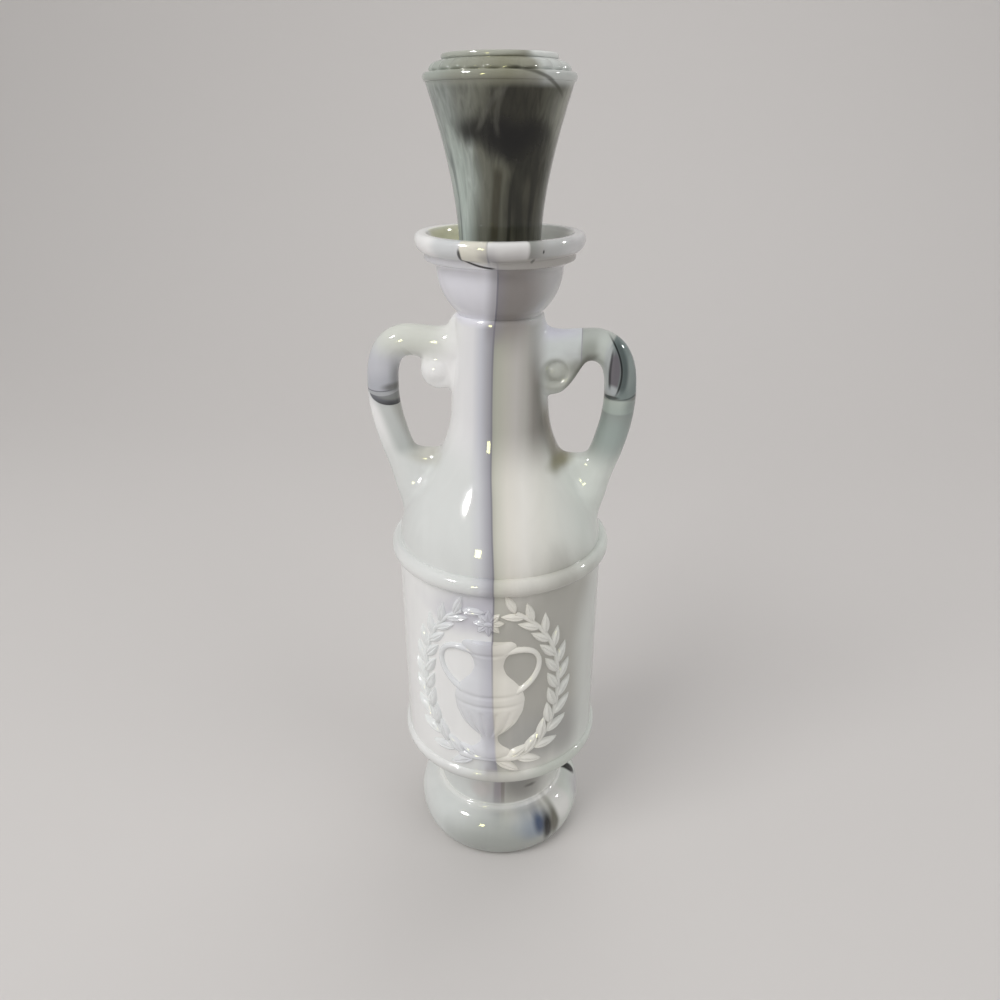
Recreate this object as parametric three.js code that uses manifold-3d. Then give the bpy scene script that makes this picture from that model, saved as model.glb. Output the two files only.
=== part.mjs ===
// Two-handled decanter of marbled opal glass, with a hollow glass stopper in a sealing sleeve.
// Millimetres, +Z up. The origin is the centre of the ring that the foot rests on.
// The handles lie along X, and the front of the panel faces -Y.

import * as THREE from 'three';
import { mergeVertices } from 'three/addons/utils/BufferGeometryUtils.js';
import Module from 'manifold-3d';

const wasm = await Module();
wasm.setup();

// Heights of the bottle's stages, from the table up
const footHeight = 23.3;
const waistHeight = 29.1;
const lowerRingHeight = 5.4;
const panelHeight = 88;
const upperRingHeight = 7;
const shoulderHeight = 53.2;
const neckHeight = 38;
const bowlHeight = 19.8;
const rimHeight = 9;

// Foot and waist
const restRadius = 33.5;
const restWidth = 6;
const footRadius = 38;
const footCreaseRadius = 28.5;
const waistRadius = 27.8;
const pushUp = 5.5;

// Panel drum and its two ring beads
const panelRadius = 42.4;
const lowerRingProud = 1.5;
const upperRingProud = 2.9;
const shoulderInset = 0.8;

// Neck, and the bore that takes the sleeve
const boreRadius = 11.5;
const neckWall = 5.7;
const neckTaper = 2;
const boreReserve = 3;

// Cupped mouth
const cupWall = 4;
const cupRootWall = 4.7;
const cupFlare = 3.8;
const seatRise = 5.5;
const seatPlay = 0.9;
const mouthFlare = 3.3;
const rimWidth = 4.5;
const rimStep = 3.4;
const lipRadius = 2;

// Glass thickness
const wall = 3.5;
const floorThickness = 5;

// Scroll handles
const handleRadius = 6.2;
const fingerRoom = 20.9;
const armDrop = 11.2;
const armRise = 1.8;
const bendLength = 13.3;
const bendDrop = 16.8;
const rootInset = 7.1;
const rootHeight = 17.2;
const rootFillet = 3.5;
const crotchHeight = 36.2;
const webThickness = 9;
const scrollRadius = 7.4;
const scrollDrop = 23;
const scrollOverhang = 3.4;
const scrollThickness = 11.4;
const eyeRadius = 2.6;
const eyeProud = 0.9;

// Glass stopper
const shankRadius = 14.5;
const shankHeight = 18.4;
const trumpetHeight = 48.6;
const trumpetRadius = 24.2;
const stopperBeadHeight = 4.2;
const stopperBeadProud = 1.8;
const tierHeight = 3.2;
const tierRadius = 23.3;
const capHeight = 2.4;
const capRadius = 20.8;
const edgeRound = 1;
const stopperWall = 3.8;

// Sealing sleeve, between the peg of the stopper and the bore
const sleeveDepth = 20;
const sleeveWall = 1.8;
const flangeThickness = 1.5;
const flangeInset = 0.6;
const ridgeCount = 4;
const ridgeHeight = 0.8;
const ridgeThickness = 1.6;
const pegWall = 3.4;
const pegSetBack = 1.5;
const clearance = 0.3;

// Fineness of the meshes
const bottleSegments = 40;
const stopperSegments = 48;
const handleSides = 12;
const handleSteps = 22;
const scrollSegments = 18;
const fineCurve = 0.14;
const coarseCurve = 0.5;

// Heights from the table
const lowerRingBase = footHeight + waistHeight;
const panelBase = lowerRingBase + lowerRingHeight;
const panelTop = panelBase + panelHeight;
const shoulderBase = panelTop + upperRingHeight;
const neckBase = shoulderBase + shoulderHeight;
const neckTop = neckBase + neckHeight;
const seatHeight = neckTop + seatRise;
const bowlTop = neckTop + bowlHeight;
const rimTop = bowlTop + rimHeight;

// Radii that follow from the sizes above
const neckTopRadius = boreRadius + neckWall;
const neckRadius = neckTopRadius + neckTaper;
const shoulderRadius = panelRadius - shoulderInset;
const cupRootRadius = boreRadius + cupRootWall;
const seatRadius = shankRadius + seatPlay;
const bowlRadius = seatRadius + cupFlare + cupWall;
const mouthRadius = bowlRadius + mouthFlare;
const rimRadius = mouthRadius + rimWidth;
const handleReach = neckRadius + fingerRoom + handleRadius;

const opalGlass = new THREE.MeshStandardMaterial({ color: 0xe4e6e2, roughness: 0.12, metalness: 0 });
const smokyGlass = new THREE.MeshStandardMaterial({ color: 0x5d6058, roughness: 0.12, metalness: 0 });
const polyethylene = new THREE.MeshStandardMaterial({ color: 0xeeece4, roughness: 0.45, metalness: 0 });

// The points of a section, with enough on each round stretch to stay within the error of its curve.
function pointsOf(section, error) {
  const points = [];
  for (const curve of section.curves) {
    const tangents = [0, 0.25, 0.5, 0.75, 1].map((t) => curve.getTangent(t));
    const turn = tangents.slice(1).reduce((sum, tangent, i) => sum + tangent.angleTo(tangents[i]), 0);
    const steps = Math.max(1, Math.ceil(Math.sqrt((turn * curve.getLength()) / (8 * error))));
    points.push(...curve.getPoints(steps));
  }
  return points.filter((point, i) => i === 0 || point.distanceTo(points[i - 1]) > 1e-6);
}

// Turns a half-section, drawn as x = radius and y = height, about the Z axis.
function turned(section, segments, error) {
  return new THREE.LatheGeometry(pointsOf(section, error), segments).rotateX(Math.PI / 2);
}

// Makes a closed geometry a solid that can be joined and cut.
function solidOf(geometry) {
  const bare = geometry.clone();
  bare.deleteAttribute('normal');
  bare.deleteAttribute('uv');
  const merged = mergeVertices(bare, 1e-4);
  const corners = merged.index.array;
  const triangles = [];
  for (let i = 0; i < corners.length; i += 3) {
    const [a, b, c] = [corners[i], corners[i + 1], corners[i + 2]];
    if (a !== b && b !== c && c !== a) triangles.push(a, b, c);
  }
  return new wasm.Manifold(new wasm.Mesh({
    numProp: 3,
    vertProperties: new Float32Array(merged.attributes.position.array),
    triVerts: new Uint32Array(triangles),
  }));
}

// Gives the geometry of a joined or cut solid.
function geometryOf(solid) {
  const mesh = solid.getMesh();
  const geometry = new THREE.BufferGeometry();
  geometry.setAttribute('position', new THREE.BufferAttribute(new Float32Array(mesh.vertProperties), 3));
  geometry.setIndex(new THREE.BufferAttribute(new Uint32Array(mesh.triVerts), 1));
  geometry.computeVertexNormals();
  return geometry;
}

function piece(name, geometry, material) {
  const mesh = new THREE.Mesh(geometry, material);
  mesh.name = name;
  return mesh;
}

// A ring bead: half an ellipse standing proud of radius, from height base up.
function addBead(section, radius, proud, base, height) {
  section.lineTo(radius, base);
  section.absellipse(radius, base + height / 2, proud, height / 2, -Math.PI / 2, Math.PI / 2, false, 0);
}

// One stage of the bottle's outside, solid to its axis: draw gives the outline between its base and its top.
function stage(base, top, draw) {
  const section = new THREE.Path();
  section.moveTo(0, base);
  draw(section);
  section.lineTo(0, top);
  return solidOf(turned(section, bottleSegments, fineCurve));
}

// The foot, from the push-up under it to the crease below the waist.
function footOutside() {
  const restInner = restRadius - restWidth;
  const footBulge = footHeight * 0.5;
  return stage(pushUp, footHeight, (section) => {
    section.quadraticCurveTo(restInner * 0.75, pushUp, restInner, 0);
    section.lineTo(restRadius, 0);
    section.bezierCurveTo(
      (restRadius + 4 * footRadius) / 5, footBulge * 0.2, footRadius, footBulge * 0.6, footRadius, footBulge);
    section.bezierCurveTo(
      footRadius, footHeight * 0.8, (footRadius + footCreaseRadius) / 2, footHeight * 0.98,
      footCreaseRadius, footHeight);
  });
}

function waistOutside() {
  return stage(footHeight, lowerRingBase, (section) => {
    section.lineTo(footCreaseRadius, footHeight);
    section.bezierCurveTo(
      waistRadius, footHeight + waistHeight * 0.25, waistRadius, footHeight + waistHeight * 0.75,
      panelRadius - lowerRingProud, lowerRingBase);
  });
}

// The drum: the panel between its two ring beads.
function drumOutside() {
  return stage(lowerRingBase, shoulderBase, (section) => {
    addBead(section, panelRadius, lowerRingProud, lowerRingBase, lowerRingHeight);
    section.lineTo(panelRadius, panelTop);
    addBead(section, panelRadius, upperRingProud, panelTop, upperRingHeight);
  });
}

function shoulderOutside() {
  return stage(shoulderBase, neckBase, (section) => {
    section.lineTo(shoulderRadius, shoulderBase);
    section.bezierCurveTo(
      shoulderRadius, shoulderBase + shoulderHeight * 0.51, neckRadius + neckTaper / 2,
      shoulderBase + shoulderHeight * 0.44, neckRadius, neckBase);
  });
}

function neckOutside() {
  return stage(neckBase, neckTop, (section) => {
    section.lineTo(neckRadius, neckBase);
    section.lineTo(neckTopRadius, neckTop);
  });
}

// The cupped mouth, from the crease on top of the neck to the top of the rim.
function mouthOutside() {
  return stage(neckTop, rimTop, (section) => {
    section.lineTo(cupRootRadius, neckTop);
    section.bezierCurveTo(
      (cupRootRadius * 2 + bowlRadius) / 3, neckTop + bowlHeight * 0.15, bowlRadius, neckTop + bowlHeight * 0.4,
      bowlRadius, neckTop + bowlHeight * 0.78);
    section.quadraticCurveTo(bowlRadius, bowlTop - rimStep * 0.3, rimRadius - rimStep, bowlTop);
    section.lineTo(rimRadius - rimStep, bowlTop + rimHeight * 0.25);
    section.bezierCurveTo(
      rimRadius + lipRadius * 0.3, bowlTop + rimHeight * 0.4, rimRadius + lipRadius * 0.3, rimTop,
      rimRadius - lipRadius, rimTop);
  });
}

// The space inside the bottle, from its floor to above the rim.
function bottleInside() {
  const footInner = footRadius - wall;
  const waistInner = waistRadius - wall;
  const panelInner = panelRadius - wall;
  const neckInner = neckRadius - wall;
  const floorEdge = restRadius - restWidth - wall;
  const floorHeight = pushUp + floorThickness;
  const boreBase = seatHeight - clearance - sleeveDepth - boreReserve;
  const mouthLip = mouthRadius - lipRadius / 2;
  const section = new THREE.Path();
  section.moveTo(0, floorHeight);
  section.quadraticCurveTo(floorEdge * 0.7, floorHeight, floorEdge, floorThickness + pushUp / 3);
  section.quadraticCurveTo(footInner, floorThickness, footInner, footHeight * 0.5);
  section.bezierCurveTo(
    footInner, footHeight * 0.75, (footInner + waistInner) / 2, footHeight * 0.85,
    waistInner, footHeight + wall / 2);
  section.bezierCurveTo(
    waistInner, footHeight + waistHeight * 0.25, waistInner, footHeight + waistHeight * 0.75 + wall,
    panelInner, lowerRingBase + wall);
  section.lineTo(panelInner, shoulderBase);
  section.bezierCurveTo(
    panelInner, shoulderBase + shoulderHeight * 0.46, neckInner, shoulderBase + shoulderHeight * 0.4,
    neckInner, neckBase);
  section.lineTo(boreRadius, boreBase);
  section.lineTo(boreRadius, seatHeight);
  section.lineTo(seatRadius, seatHeight);
  section.bezierCurveTo(
    seatRadius + cupFlare, (seatHeight + bowlTop) / 2, mouthLip - cupFlare / 2, bowlTop,
    mouthLip, rimTop - lipRadius);
  section.lineTo(mouthRadius, rimTop);
  section.lineTo(mouthRadius, rimTop + lipRadius);
  section.lineTo(0, rimTop + lipRadius);
  return solidOf(turned(section, bottleSegments, coarseCurve));
}

// The line that a handle's glass follows: out from the neck, round the bend, and down into the shoulder.
const armHeight = neckTop - armDrop;
const bendBase = armHeight - bendDrop;
const rootZ = shoulderBase + rootHeight;
const rootRadius = shoulderRadius - rootInset;
const bendStart = new THREE.Vector3(handleReach - bendLength, 0, armHeight);
const armRoot = new THREE.Vector3(boreRadius, 0, armHeight - armRise);
const bendEnd = new THREE.Vector3(handleReach, 0, bendBase);
const handleRoot = new THREE.Vector3(rootRadius, 0, rootZ);
const rootEnd = new THREE.Vector3(rootRadius - rootHeight * 0.2, 0, rootZ - rootHeight * 0.8);

function handleLine() {
  const lowerLength = bendBase - rootZ;
  const line = new THREE.CurvePath();
  line.add(new THREE.LineCurve3(armRoot, bendStart));
  line.add(new THREE.CubicBezierCurve3(
    bendStart,
    new THREE.Vector3(handleReach - bendLength * 0.35, 0, armHeight + armRise / 4),
    new THREE.Vector3(handleReach, 0, bendBase + bendDrop * 0.7),
    bendEnd));
  line.add(new THREE.CubicBezierCurve3(
    bendEnd,
    new THREE.Vector3(handleReach + handleRadius * 0.15, 0, bendBase - lowerLength * 0.39),
    new THREE.Vector3(rootRadius + lowerLength * 0.09, 0, rootZ + lowerLength * 0.28),
    handleRoot));
  line.add(new THREE.LineCurve3(handleRoot, rootEnd));
  return line;
}

function roundBar(radius, steps, line) {
  const section = new THREE.Shape().absarc(0, 0, radius, 0, 2 * Math.PI);
  return solidOf(new THREE.ExtrudeGeometry(section, {
    steps, curveSegments: handleSides / 2, extrudePath: line, bevelEnabled: false,
  }));
}

// The fillet where the handle's arm leaves the neck.
function armFillet() {
  const along = new THREE.Vector3().subVectors(bendStart, armRoot).normalize();
  const start = neckTopRadius - boreRadius;
  const section = new THREE.Path();
  section.moveTo(0, 0);
  section.lineTo(handleRadius + rootFillet, 0);
  section.lineTo(handleRadius + rootFillet, start);
  section.quadraticCurveTo(handleRadius, start, handleRadius - clearance, start + rootFillet * 1.5);
  section.lineTo(0, start + rootFillet * 1.5);
  const fillet = new THREE.LatheGeometry(pointsOf(section, fineCurve), handleSides);
  fillet.applyQuaternion(new THREE.Quaternion().setFromUnitVectors(new THREE.Vector3(0, 1, 0), along));
  return solidOf(fillet.translate(armRoot.x, 0, armRoot.z));
}

// The web that fills the crotch between the handle's lower end and the shoulder.
function crotchWeb() {
  const crotch = shoulderBase + crotchHeight;
  const round = webThickness / 3;
  const outline = new THREE.Shape([
    new THREE.Vector2(neckRadius, rootZ),
    new THREE.Vector2(rootRadius, rootZ),
    new THREE.Vector2(handleReach - handleRadius, crotch),
    new THREE.Vector2(neckRadius, crotch),
  ]);
  const web = new THREE.ExtrudeGeometry(outline, {
    depth: webThickness - 2 * round,
    bevelThickness: round, bevelSize: round, bevelOffset: -round, bevelSegments: 3,
  });
  return solidOf(web.rotateX(Math.PI / 2).translate(0, webThickness / 2 - round, 0));
}

// The scroll under the arm: a thick round disc with an eye on both faces.
function scroll() {
  const face = scrollThickness / 2;
  const round = scrollRadius * 0.3;
  const section = new THREE.Path();
  section.moveTo(0, -face - eyeProud / 2);
  section.quadraticCurveTo(eyeRadius, -face - eyeProud / 2, eyeRadius, eyeProud / 2 - face);
  section.lineTo(scrollRadius - round, -face);
  section.quadraticCurveTo(scrollRadius, -face, scrollRadius, round - face);
  section.lineTo(scrollRadius, face - round);
  section.quadraticCurveTo(scrollRadius, face, scrollRadius - round, face);
  section.lineTo(eyeRadius, face - eyeProud / 2);
  section.quadraticCurveTo(eyeRadius, face + eyeProud / 2, 0, face + eyeProud / 2);
  const disc = new THREE.LatheGeometry(pointsOf(section, fineCurve), scrollSegments);
  return solidOf(disc.translate(neckTopRadius + scrollOverhang, 0, neckTop - scrollDrop));
}

// The bottle's glass: a ring for each stage, divided at the creases, and the two handles on them.
function bottle() {
  const inside = bottleInside();
  const shoulder = shoulderOutside();
  const neck = neckOutside();
  const glass = (name, solid) => piece(name, geometryOf(solid), opalGlass);
  const ring = (name, outside) => glass(name, outside.subtract(inside));
  const handle = roundBar(handleRadius, handleSteps, handleLine())
    .add(armFillet()).add(crotchWeb()).add(scroll()).subtract(shoulder).subtract(neck);
  return [
    ring('foot', footOutside()),
    ring('waist', waistOutside()),
    ring('drum', drumOutside()),
    ring('shoulder', shoulder),
    ring('neck', neck),
    ring('mouth', mouthOutside()),
    glass('handle_right', handle),
    glass('handle_left', handle.rotate([0, 0, 180])),
  ];
}

// Places of the closure, all taken from the seat in the cup
const flangeBase = seatHeight + clearance;
const flangeTop = flangeBase + flangeThickness;
const sleeveBase = flangeBase - sleeveDepth;
const stopperBase = flangeTop + clearance;
const sleeveRadius = boreRadius - clearance - ridgeHeight;
const sleeveInner = sleeveRadius - sleeveWall;
const pegRadius = sleeveInner - clearance;

// A glass stopper, blown hollow: its hollow is open at the foot of the peg.
function stopperHead() {
  const shankTop = stopperBase + shankHeight;
  const trumpetTop = shankTop + trumpetHeight;
  const beadTop = trumpetTop + stopperBeadHeight;
  const tierTop = beadTop + tierHeight;
  const capTop = tierTop + capHeight;
  const pegBase = sleeveBase + pegSetBack;
  const pegHollow = pegRadius - pegWall;
  const section = new THREE.Path();
  section.moveTo(0, trumpetTop - stopperWall);
  section.quadraticCurveTo(trumpetRadius - stopperWall, trumpetTop - stopperWall,
    trumpetRadius - 2 * stopperWall, shankTop + trumpetHeight * 0.75);
  section.quadraticCurveTo(
    shankRadius - stopperWall, shankTop + trumpetHeight * 0.3, shankRadius - stopperWall, shankTop);
  section.quadraticCurveTo(shankRadius - stopperWall, stopperBase + stopperWall, pegHollow, stopperBase);
  section.lineTo(pegHollow, pegBase);
  section.lineTo(pegRadius, pegBase);
  section.lineTo(pegRadius, stopperBase);
  section.lineTo(shankRadius - edgeRound, stopperBase);
  section.quadraticCurveTo(shankRadius, stopperBase, shankRadius, stopperBase + edgeRound);
  section.lineTo(shankRadius, shankTop);
  section.bezierCurveTo(
    shankRadius + edgeRound, shankTop + trumpetHeight * 0.3, trumpetRadius - stopperWall,
    shankTop + trumpetHeight * 0.62, trumpetRadius, trumpetTop);
  addBead(section, trumpetRadius, stopperBeadProud, trumpetTop, stopperBeadHeight);
  section.lineTo(tierRadius, beadTop);
  section.lineTo(tierRadius, tierTop - edgeRound);
  section.quadraticCurveTo(tierRadius, tierTop, tierRadius - edgeRound, tierTop);
  section.lineTo(capRadius, tierTop);
  section.lineTo(capRadius, capTop - edgeRound);
  section.quadraticCurveTo(capRadius, capTop, capRadius - edgeRound, capTop);
  section.lineTo(0, capTop);
  return piece('stopper_head', turned(section, stopperSegments, fineCurve), smokyGlass);
}

// A ribbed sleeve on the stopper's peg, with a flange that lies on the seat in the cup.
function stopperSleeve() {
  const flangeRadius = shankRadius - flangeInset;
  const pitch = sleeveDepth / (ridgeCount + 1);
  const section = new THREE.Path();
  section.moveTo(sleeveInner, flangeTop);
  section.lineTo(sleeveInner, sleeveBase);
  section.lineTo(sleeveRadius, sleeveBase);
  for (let ridge = 1; ridge <= ridgeCount; ridge += 1) {
    const middle = sleeveBase + pitch * ridge;
    section.lineTo(sleeveRadius, middle - ridgeThickness / 2);
    section.lineTo(sleeveRadius + ridgeHeight, middle);
    section.lineTo(sleeveRadius, middle + ridgeThickness / 2);
  }
  section.lineTo(sleeveRadius, flangeBase);
  section.lineTo(flangeRadius, flangeBase);
  section.lineTo(flangeRadius, flangeTop);
  section.lineTo(sleeveInner, flangeTop);
  return piece('stopper_sleeve', turned(section, stopperSegments, fineCurve), polyethylene);
}

const decanter = new THREE.Group();
decanter.add(...bottle(), stopperHead(), stopperSleeve());

export default decanter;
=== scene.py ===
import math

import bmesh
import bpy
import numpy as np
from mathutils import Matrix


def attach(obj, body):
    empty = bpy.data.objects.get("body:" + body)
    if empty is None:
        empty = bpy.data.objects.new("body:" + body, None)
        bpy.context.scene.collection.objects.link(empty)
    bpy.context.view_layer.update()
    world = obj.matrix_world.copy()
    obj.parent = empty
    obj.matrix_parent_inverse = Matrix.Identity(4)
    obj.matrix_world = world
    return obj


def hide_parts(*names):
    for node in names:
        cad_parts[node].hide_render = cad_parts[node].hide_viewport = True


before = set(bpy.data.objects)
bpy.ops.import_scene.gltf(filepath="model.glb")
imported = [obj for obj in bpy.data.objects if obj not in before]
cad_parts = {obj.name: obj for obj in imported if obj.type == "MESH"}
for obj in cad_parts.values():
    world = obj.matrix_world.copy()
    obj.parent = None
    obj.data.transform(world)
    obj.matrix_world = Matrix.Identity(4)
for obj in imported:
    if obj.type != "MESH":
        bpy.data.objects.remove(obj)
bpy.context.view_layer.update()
scene = bpy.context.scene
mm = 0.001
mergeDistance = 1e-6  # metres
print("frame:", ", ".join(sorted(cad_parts)))


# Nodes

class Wiring:  # adds nodes to a tree; a value that is a socket is linked, any other is set
    def __init__(self, tree):
        self.tree = tree

    def put(self, socket, value):
        if isinstance(value, bpy.types.NodeSocket):
            self.tree.links.new(value, socket)
        else:
            socket.default_value = value

    def add(self, kind, inputs=(), **settings):
        node = self.tree.nodes.new(kind)
        for key, value in settings.items():
            setattr(node, key, value)
        for key, value in dict(inputs).items():
            self.put(node.inputs[key], value)
        return node

    def math(self, operation, *values):
        return self.add("ShaderNodeMath", enumerate(values), operation=operation).outputs[0]

    def times(self, first, *others):
        for other in others:
            first = self.math("MULTIPLY", first, other)
        return first

    def plus(self, first, *others):
        for other in others:
            first = self.math("ADD", first, other)
        return first

    def minus(self, first, second):
        return self.math("SUBTRACT", first, second)

    def over(self, first, second):
        return self.math("DIVIDE", first, second)

    def vector(self, operation, *values):
        return self.add("ShaderNodeVectorMath", enumerate(values), operation=operation).outputs

    def fade(self, value, low, high):  # 0 at low, 1 at high, eased at both ends
        return self.add(
            "ShaderNodeMapRange",
            {"Value": value, "From Min": low, "From Max": high},
            interpolation_type="SMOOTHSTEP",
        ).outputs["Result"]

    def noise(self, point, scale, detail=2.0, distortion=0.0):
        return self.add(
            "ShaderNodeTexNoise",
            {"Vector": point, "Scale": scale, "Detail": detail, "Distortion": distortion},
        ).outputs["Fac"]

    def blend(self, amount, below, above, kind="MIX"):
        node = self.add("ShaderNodeMix", data_type="RGBA", blend_type=kind)
        for index, value in ((0, amount), (6, below), (7, above)):
            self.put(node.inputs[index], value)
        return node.outputs[2]

    def group(self, tree, inputs=()):
        node = self.add("ShaderNodeGroup", node_tree=tree)
        for key, value in dict(inputs).items():
            self.put(node.inputs[key], value)
        return node.outputs


def newTree(name, kind, inputs, outputs):
    tree = bpy.data.node_groups.new(name, kind)
    for direction, sockets in (("INPUT", inputs), ("OUTPUT", outputs)):
        for label, socketType in sockets:
            tree.interface.new_socket(label, in_out=direction, socket_type="NodeSocket" + socketType)
    wires = Wiring(tree)
    given = wires.add("NodeGroupInput").outputs
    wanted = wires.add("NodeGroupOutput").inputs
    return tree, wires, given, wanted


def floats(*labels):
    return [(label, "Float") for label in labels]


def finishForm(wires, geometry, finish, result):  # the end of each tree that makes a form
    real = wires.add("GeometryNodeRealizeInstances", {"Geometry": geometry})
    finished = wires.add("GeometryNodeSetMaterial", {"Geometry": real.outputs[0], "Material": finish})
    wires.put(result, finished.outputs[0])


# Outlines, as (radius, height) in millimetres

def bend(*corners, count=14):  # a curve drawn by 3 or 4 control points, without its first point
    t = np.linspace(0, 1, count + 1)[1:, None]
    corners = [np.array(corner, float) for corner in corners]
    if len(corners) == 3:
        a, b, c = corners
        points = (1 - t) ** 2 * a + 2 * (1 - t) * t * b + t**2 * c
    else:
        a, b, c, d = corners
        points = (1 - t) ** 3 * a + 3 * (1 - t) ** 2 * t * b + 3 * (1 - t) * t**2 * c + t**3 * d
    return [tuple(point) for point in points]


def bead(radius, proud, base, height, count=18):  # half an ellipse standing proud of radius
    turn = np.linspace(-math.pi / 2, math.pi / 2, count + 1)
    return [(radius + proud * math.cos(a), base + height / 2 * (1 + math.sin(a))) for a in turn]


def softened(points, reach, least=14):  # sharp corners become small rounds
    points = [np.array(point, float) for point in points]
    result = [points[0]]
    for before, corner, after in zip(points, points[1:], points[2:]):
        back, ahead = before - corner, after - corner
        lengths = [max(np.linalg.norm(side), 1e-9) for side in (back, ahead)]
        turn = math.pi - math.acos(np.clip(back @ ahead / (lengths[0] * lengths[1]), -1, 1))
        if math.degrees(turn) < least:
            result.append(corner)
            continue
        start = corner + back * min(0.45, reach / lengths[0])
        end = corner + ahead * min(0.45, reach / lengths[1])
        result.append(start)
        result.extend(np.array(point) for point in bend(start, corner, end, count=5))
    result.append(points[-1])
    return [tuple(point) for point in result]


# Meshes

def newPiece(name, data):
    piece = bpy.data.objects.new(name, data)
    scene.collection.objects.link(piece)
    return piece


def evaluatedMesh(piece):
    return bpy.data.meshes.new_from_object(piece.evaluated_get(bpy.context.evaluated_depsgraph_get()))


def plainMesh(piece):  # what the modifiers make becomes the piece's own mesh
    mesh = evaluatedMesh(piece)
    piece.modifiers.clear()
    piece.data = mesh


def pointOutwards(mesh):
    shape = bmesh.new()
    shape.from_mesh(mesh)
    bmesh.ops.remove_doubles(shape, verts=shape.verts, dist=mergeDistance)
    bmesh.ops.recalc_face_normals(shape, faces=shape.faces)
    shape.to_mesh(mesh)
    shape.free()


def shadeSmooth(mesh, sharpest):
    mesh.shade_smooth()
    mesh.set_sharp_from_angle(angle=math.radians(sharpest))


def addNodes(piece, tree, values):
    modifier = piece.modifiers.new(tree.name, "NODES")
    modifier.node_group = tree
    for item in tree.interface.items_tree:
        if item.in_out == "INPUT" and item.name in values:
            modifier[item.identifier] = values[item.name]


def turnedFormTree():  # the outline's points, swept round the Z axis
    tree, wires, given, result = newTree(
        "turnedForm",
        "GeometryNodeTree",
        [("Outline", "Geometry"), ("Segments", "Int"), ("Finish", "Material")],
        [("Form", "Geometry")],
    )
    size = wires.add("GeometryNodeAttributeDomainSize", {"Geometry": given["Outline"]})
    rows = size.outputs["Point Count"]
    grid = wires.add(  # 1 by 1, so that a place on it is a share of the turn and of the outline
        "GeometryNodeMeshGrid",
        {"Size X": 1.0, "Size Y": 1.0, "Vertices X": wires.plus(given["Segments"], 1.0), "Vertices Y": rows},
    )
    position = wires.add("GeometryNodeInputPosition").outputs[0]
    flat = wires.add("ShaderNodeSeparateXYZ", {0: position}).outputs
    row = wires.math("ROUND", wires.times(wires.plus(flat["Y"], 0.5), wires.minus(rows, 1.0)))
    turn = wires.times(wires.plus(flat["X"], 0.5), 2 * math.pi)
    sample = wires.add(
        "GeometryNodeSampleIndex",
        {"Geometry": given["Outline"], "Value": position, "Index": row},
        data_type="FLOAT_VECTOR",
    )
    drawn = wires.add("ShaderNodeSeparateXYZ", {0: sample.outputs["Value"]}).outputs
    swept = wires.add(
        "ShaderNodeCombineXYZ",
        {
            "X": wires.times(drawn["X"], wires.math("SINE", turn)),
            "Y": wires.times(drawn["X"], wires.math("COSINE", turn), -1.0),
            "Z": drawn["Z"],
        },
    )
    placed = wires.add(
        "GeometryNodeSetPosition", {"Geometry": grid.outputs["Mesh"], "Position": swept.outputs[0]}
    )
    closed = wires.add(
        "GeometryNodeMergeByDistance", {"Geometry": placed.outputs[0], "Distance": mergeDistance}
    )
    finishForm(wires, closed.outputs[0], given["Finish"], result["Form"])
    return tree


turnedForm = turnedFormTree()


def turned(name, outline, segments, finish):
    mesh = bpy.data.meshes.new(name)
    mesh.from_pydata([(r * mm, 0, z * mm) for r, z in outline], [], [])
    piece = newPiece(name, mesh)
    addNodes(piece, turnedForm, {"Segments": segments, "Finish": finish})
    plainMesh(piece)
    pointOutwards(piece.data)
    return piece


def sweptBar(line, radii, sides=28):  # a closed round bar along a line in the XZ plane
    line = np.array(line, float)
    ahead = np.gradient(line, axis=0)
    ahead /= np.linalg.norm(ahead, axis=1)[:, None]
    verts = []
    for (x, z), (ax, az), radius in zip(line, ahead, radii):
        for k in range(sides):
            a = 2 * math.pi * k / sides
            out, side = radius * math.cos(a), radius * math.sin(a)
            verts.append(((x - az * out) * mm, side * mm, (z + ax * out) * mm))
    faces = [tuple(range(sides))[::-1]]
    for i in range(len(line) - 1):
        for k in range(sides):
            a, b = i * sides + k, i * sides + (k + 1) % sides
            faces.append((a, b, b + sides, a + sides))
    last = (len(line) - 1) * sides
    faces.append(tuple(range(last, last + sides)))
    mesh = bpy.data.meshes.new("bar")
    mesh.from_pydata(verts, [], faces)
    return mesh


def joined(name, meshes, finish):
    shape = bmesh.new()
    for mesh in meshes:
        shape.from_mesh(mesh)
    mesh = bpy.data.meshes.new(name)
    shape.to_mesh(mesh)
    shape.free()
    mesh.materials.clear()
    mesh.materials.append(finish)
    mesh.polygons.foreach_set("material_index", np.zeros(len(mesh.polygons), np.int32))
    return mesh


def pointsOf(mesh):
    places = np.empty(len(mesh.vertices) * 3)
    mesh.vertices.foreach_get("co", places)
    return places.reshape(-1, 3)


def turnedCopy(mesh, degrees):  # the same mesh, turned about the Z axis
    copy = mesh.copy()
    a = math.radians(degrees)
    places = pointsOf(copy)
    spin = np.array([[math.cos(a), math.sin(a), 0], [-math.sin(a), math.cos(a), 0], [0, 0, 1]])
    copy.vertices.foreach_set("co", (places @ spin).ravel())
    return copy


def eased(value, low, high):  # 0 at low, 1 at high
    t = np.clip((value - low) / (high - low), 0, 1)
    return t * t * (3 - 2 * t)


def hump(value, middle, width):  # 1 in the middle, falling away to both sides
    return np.exp(-(((value - middle) / width) ** 2))


# Materials

def tone(red, green, blue, light=0.88, palest=0.92):  # a colour as it looks here, as a surface colour
    linear = [((c + 0.055) / 1.055) ** 2.4 if c > 0.04 else c / 12.92 for c in (red, green, blue)]
    return tuple(min(palest, c / light) for c in linear) + (1.0,)


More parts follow.
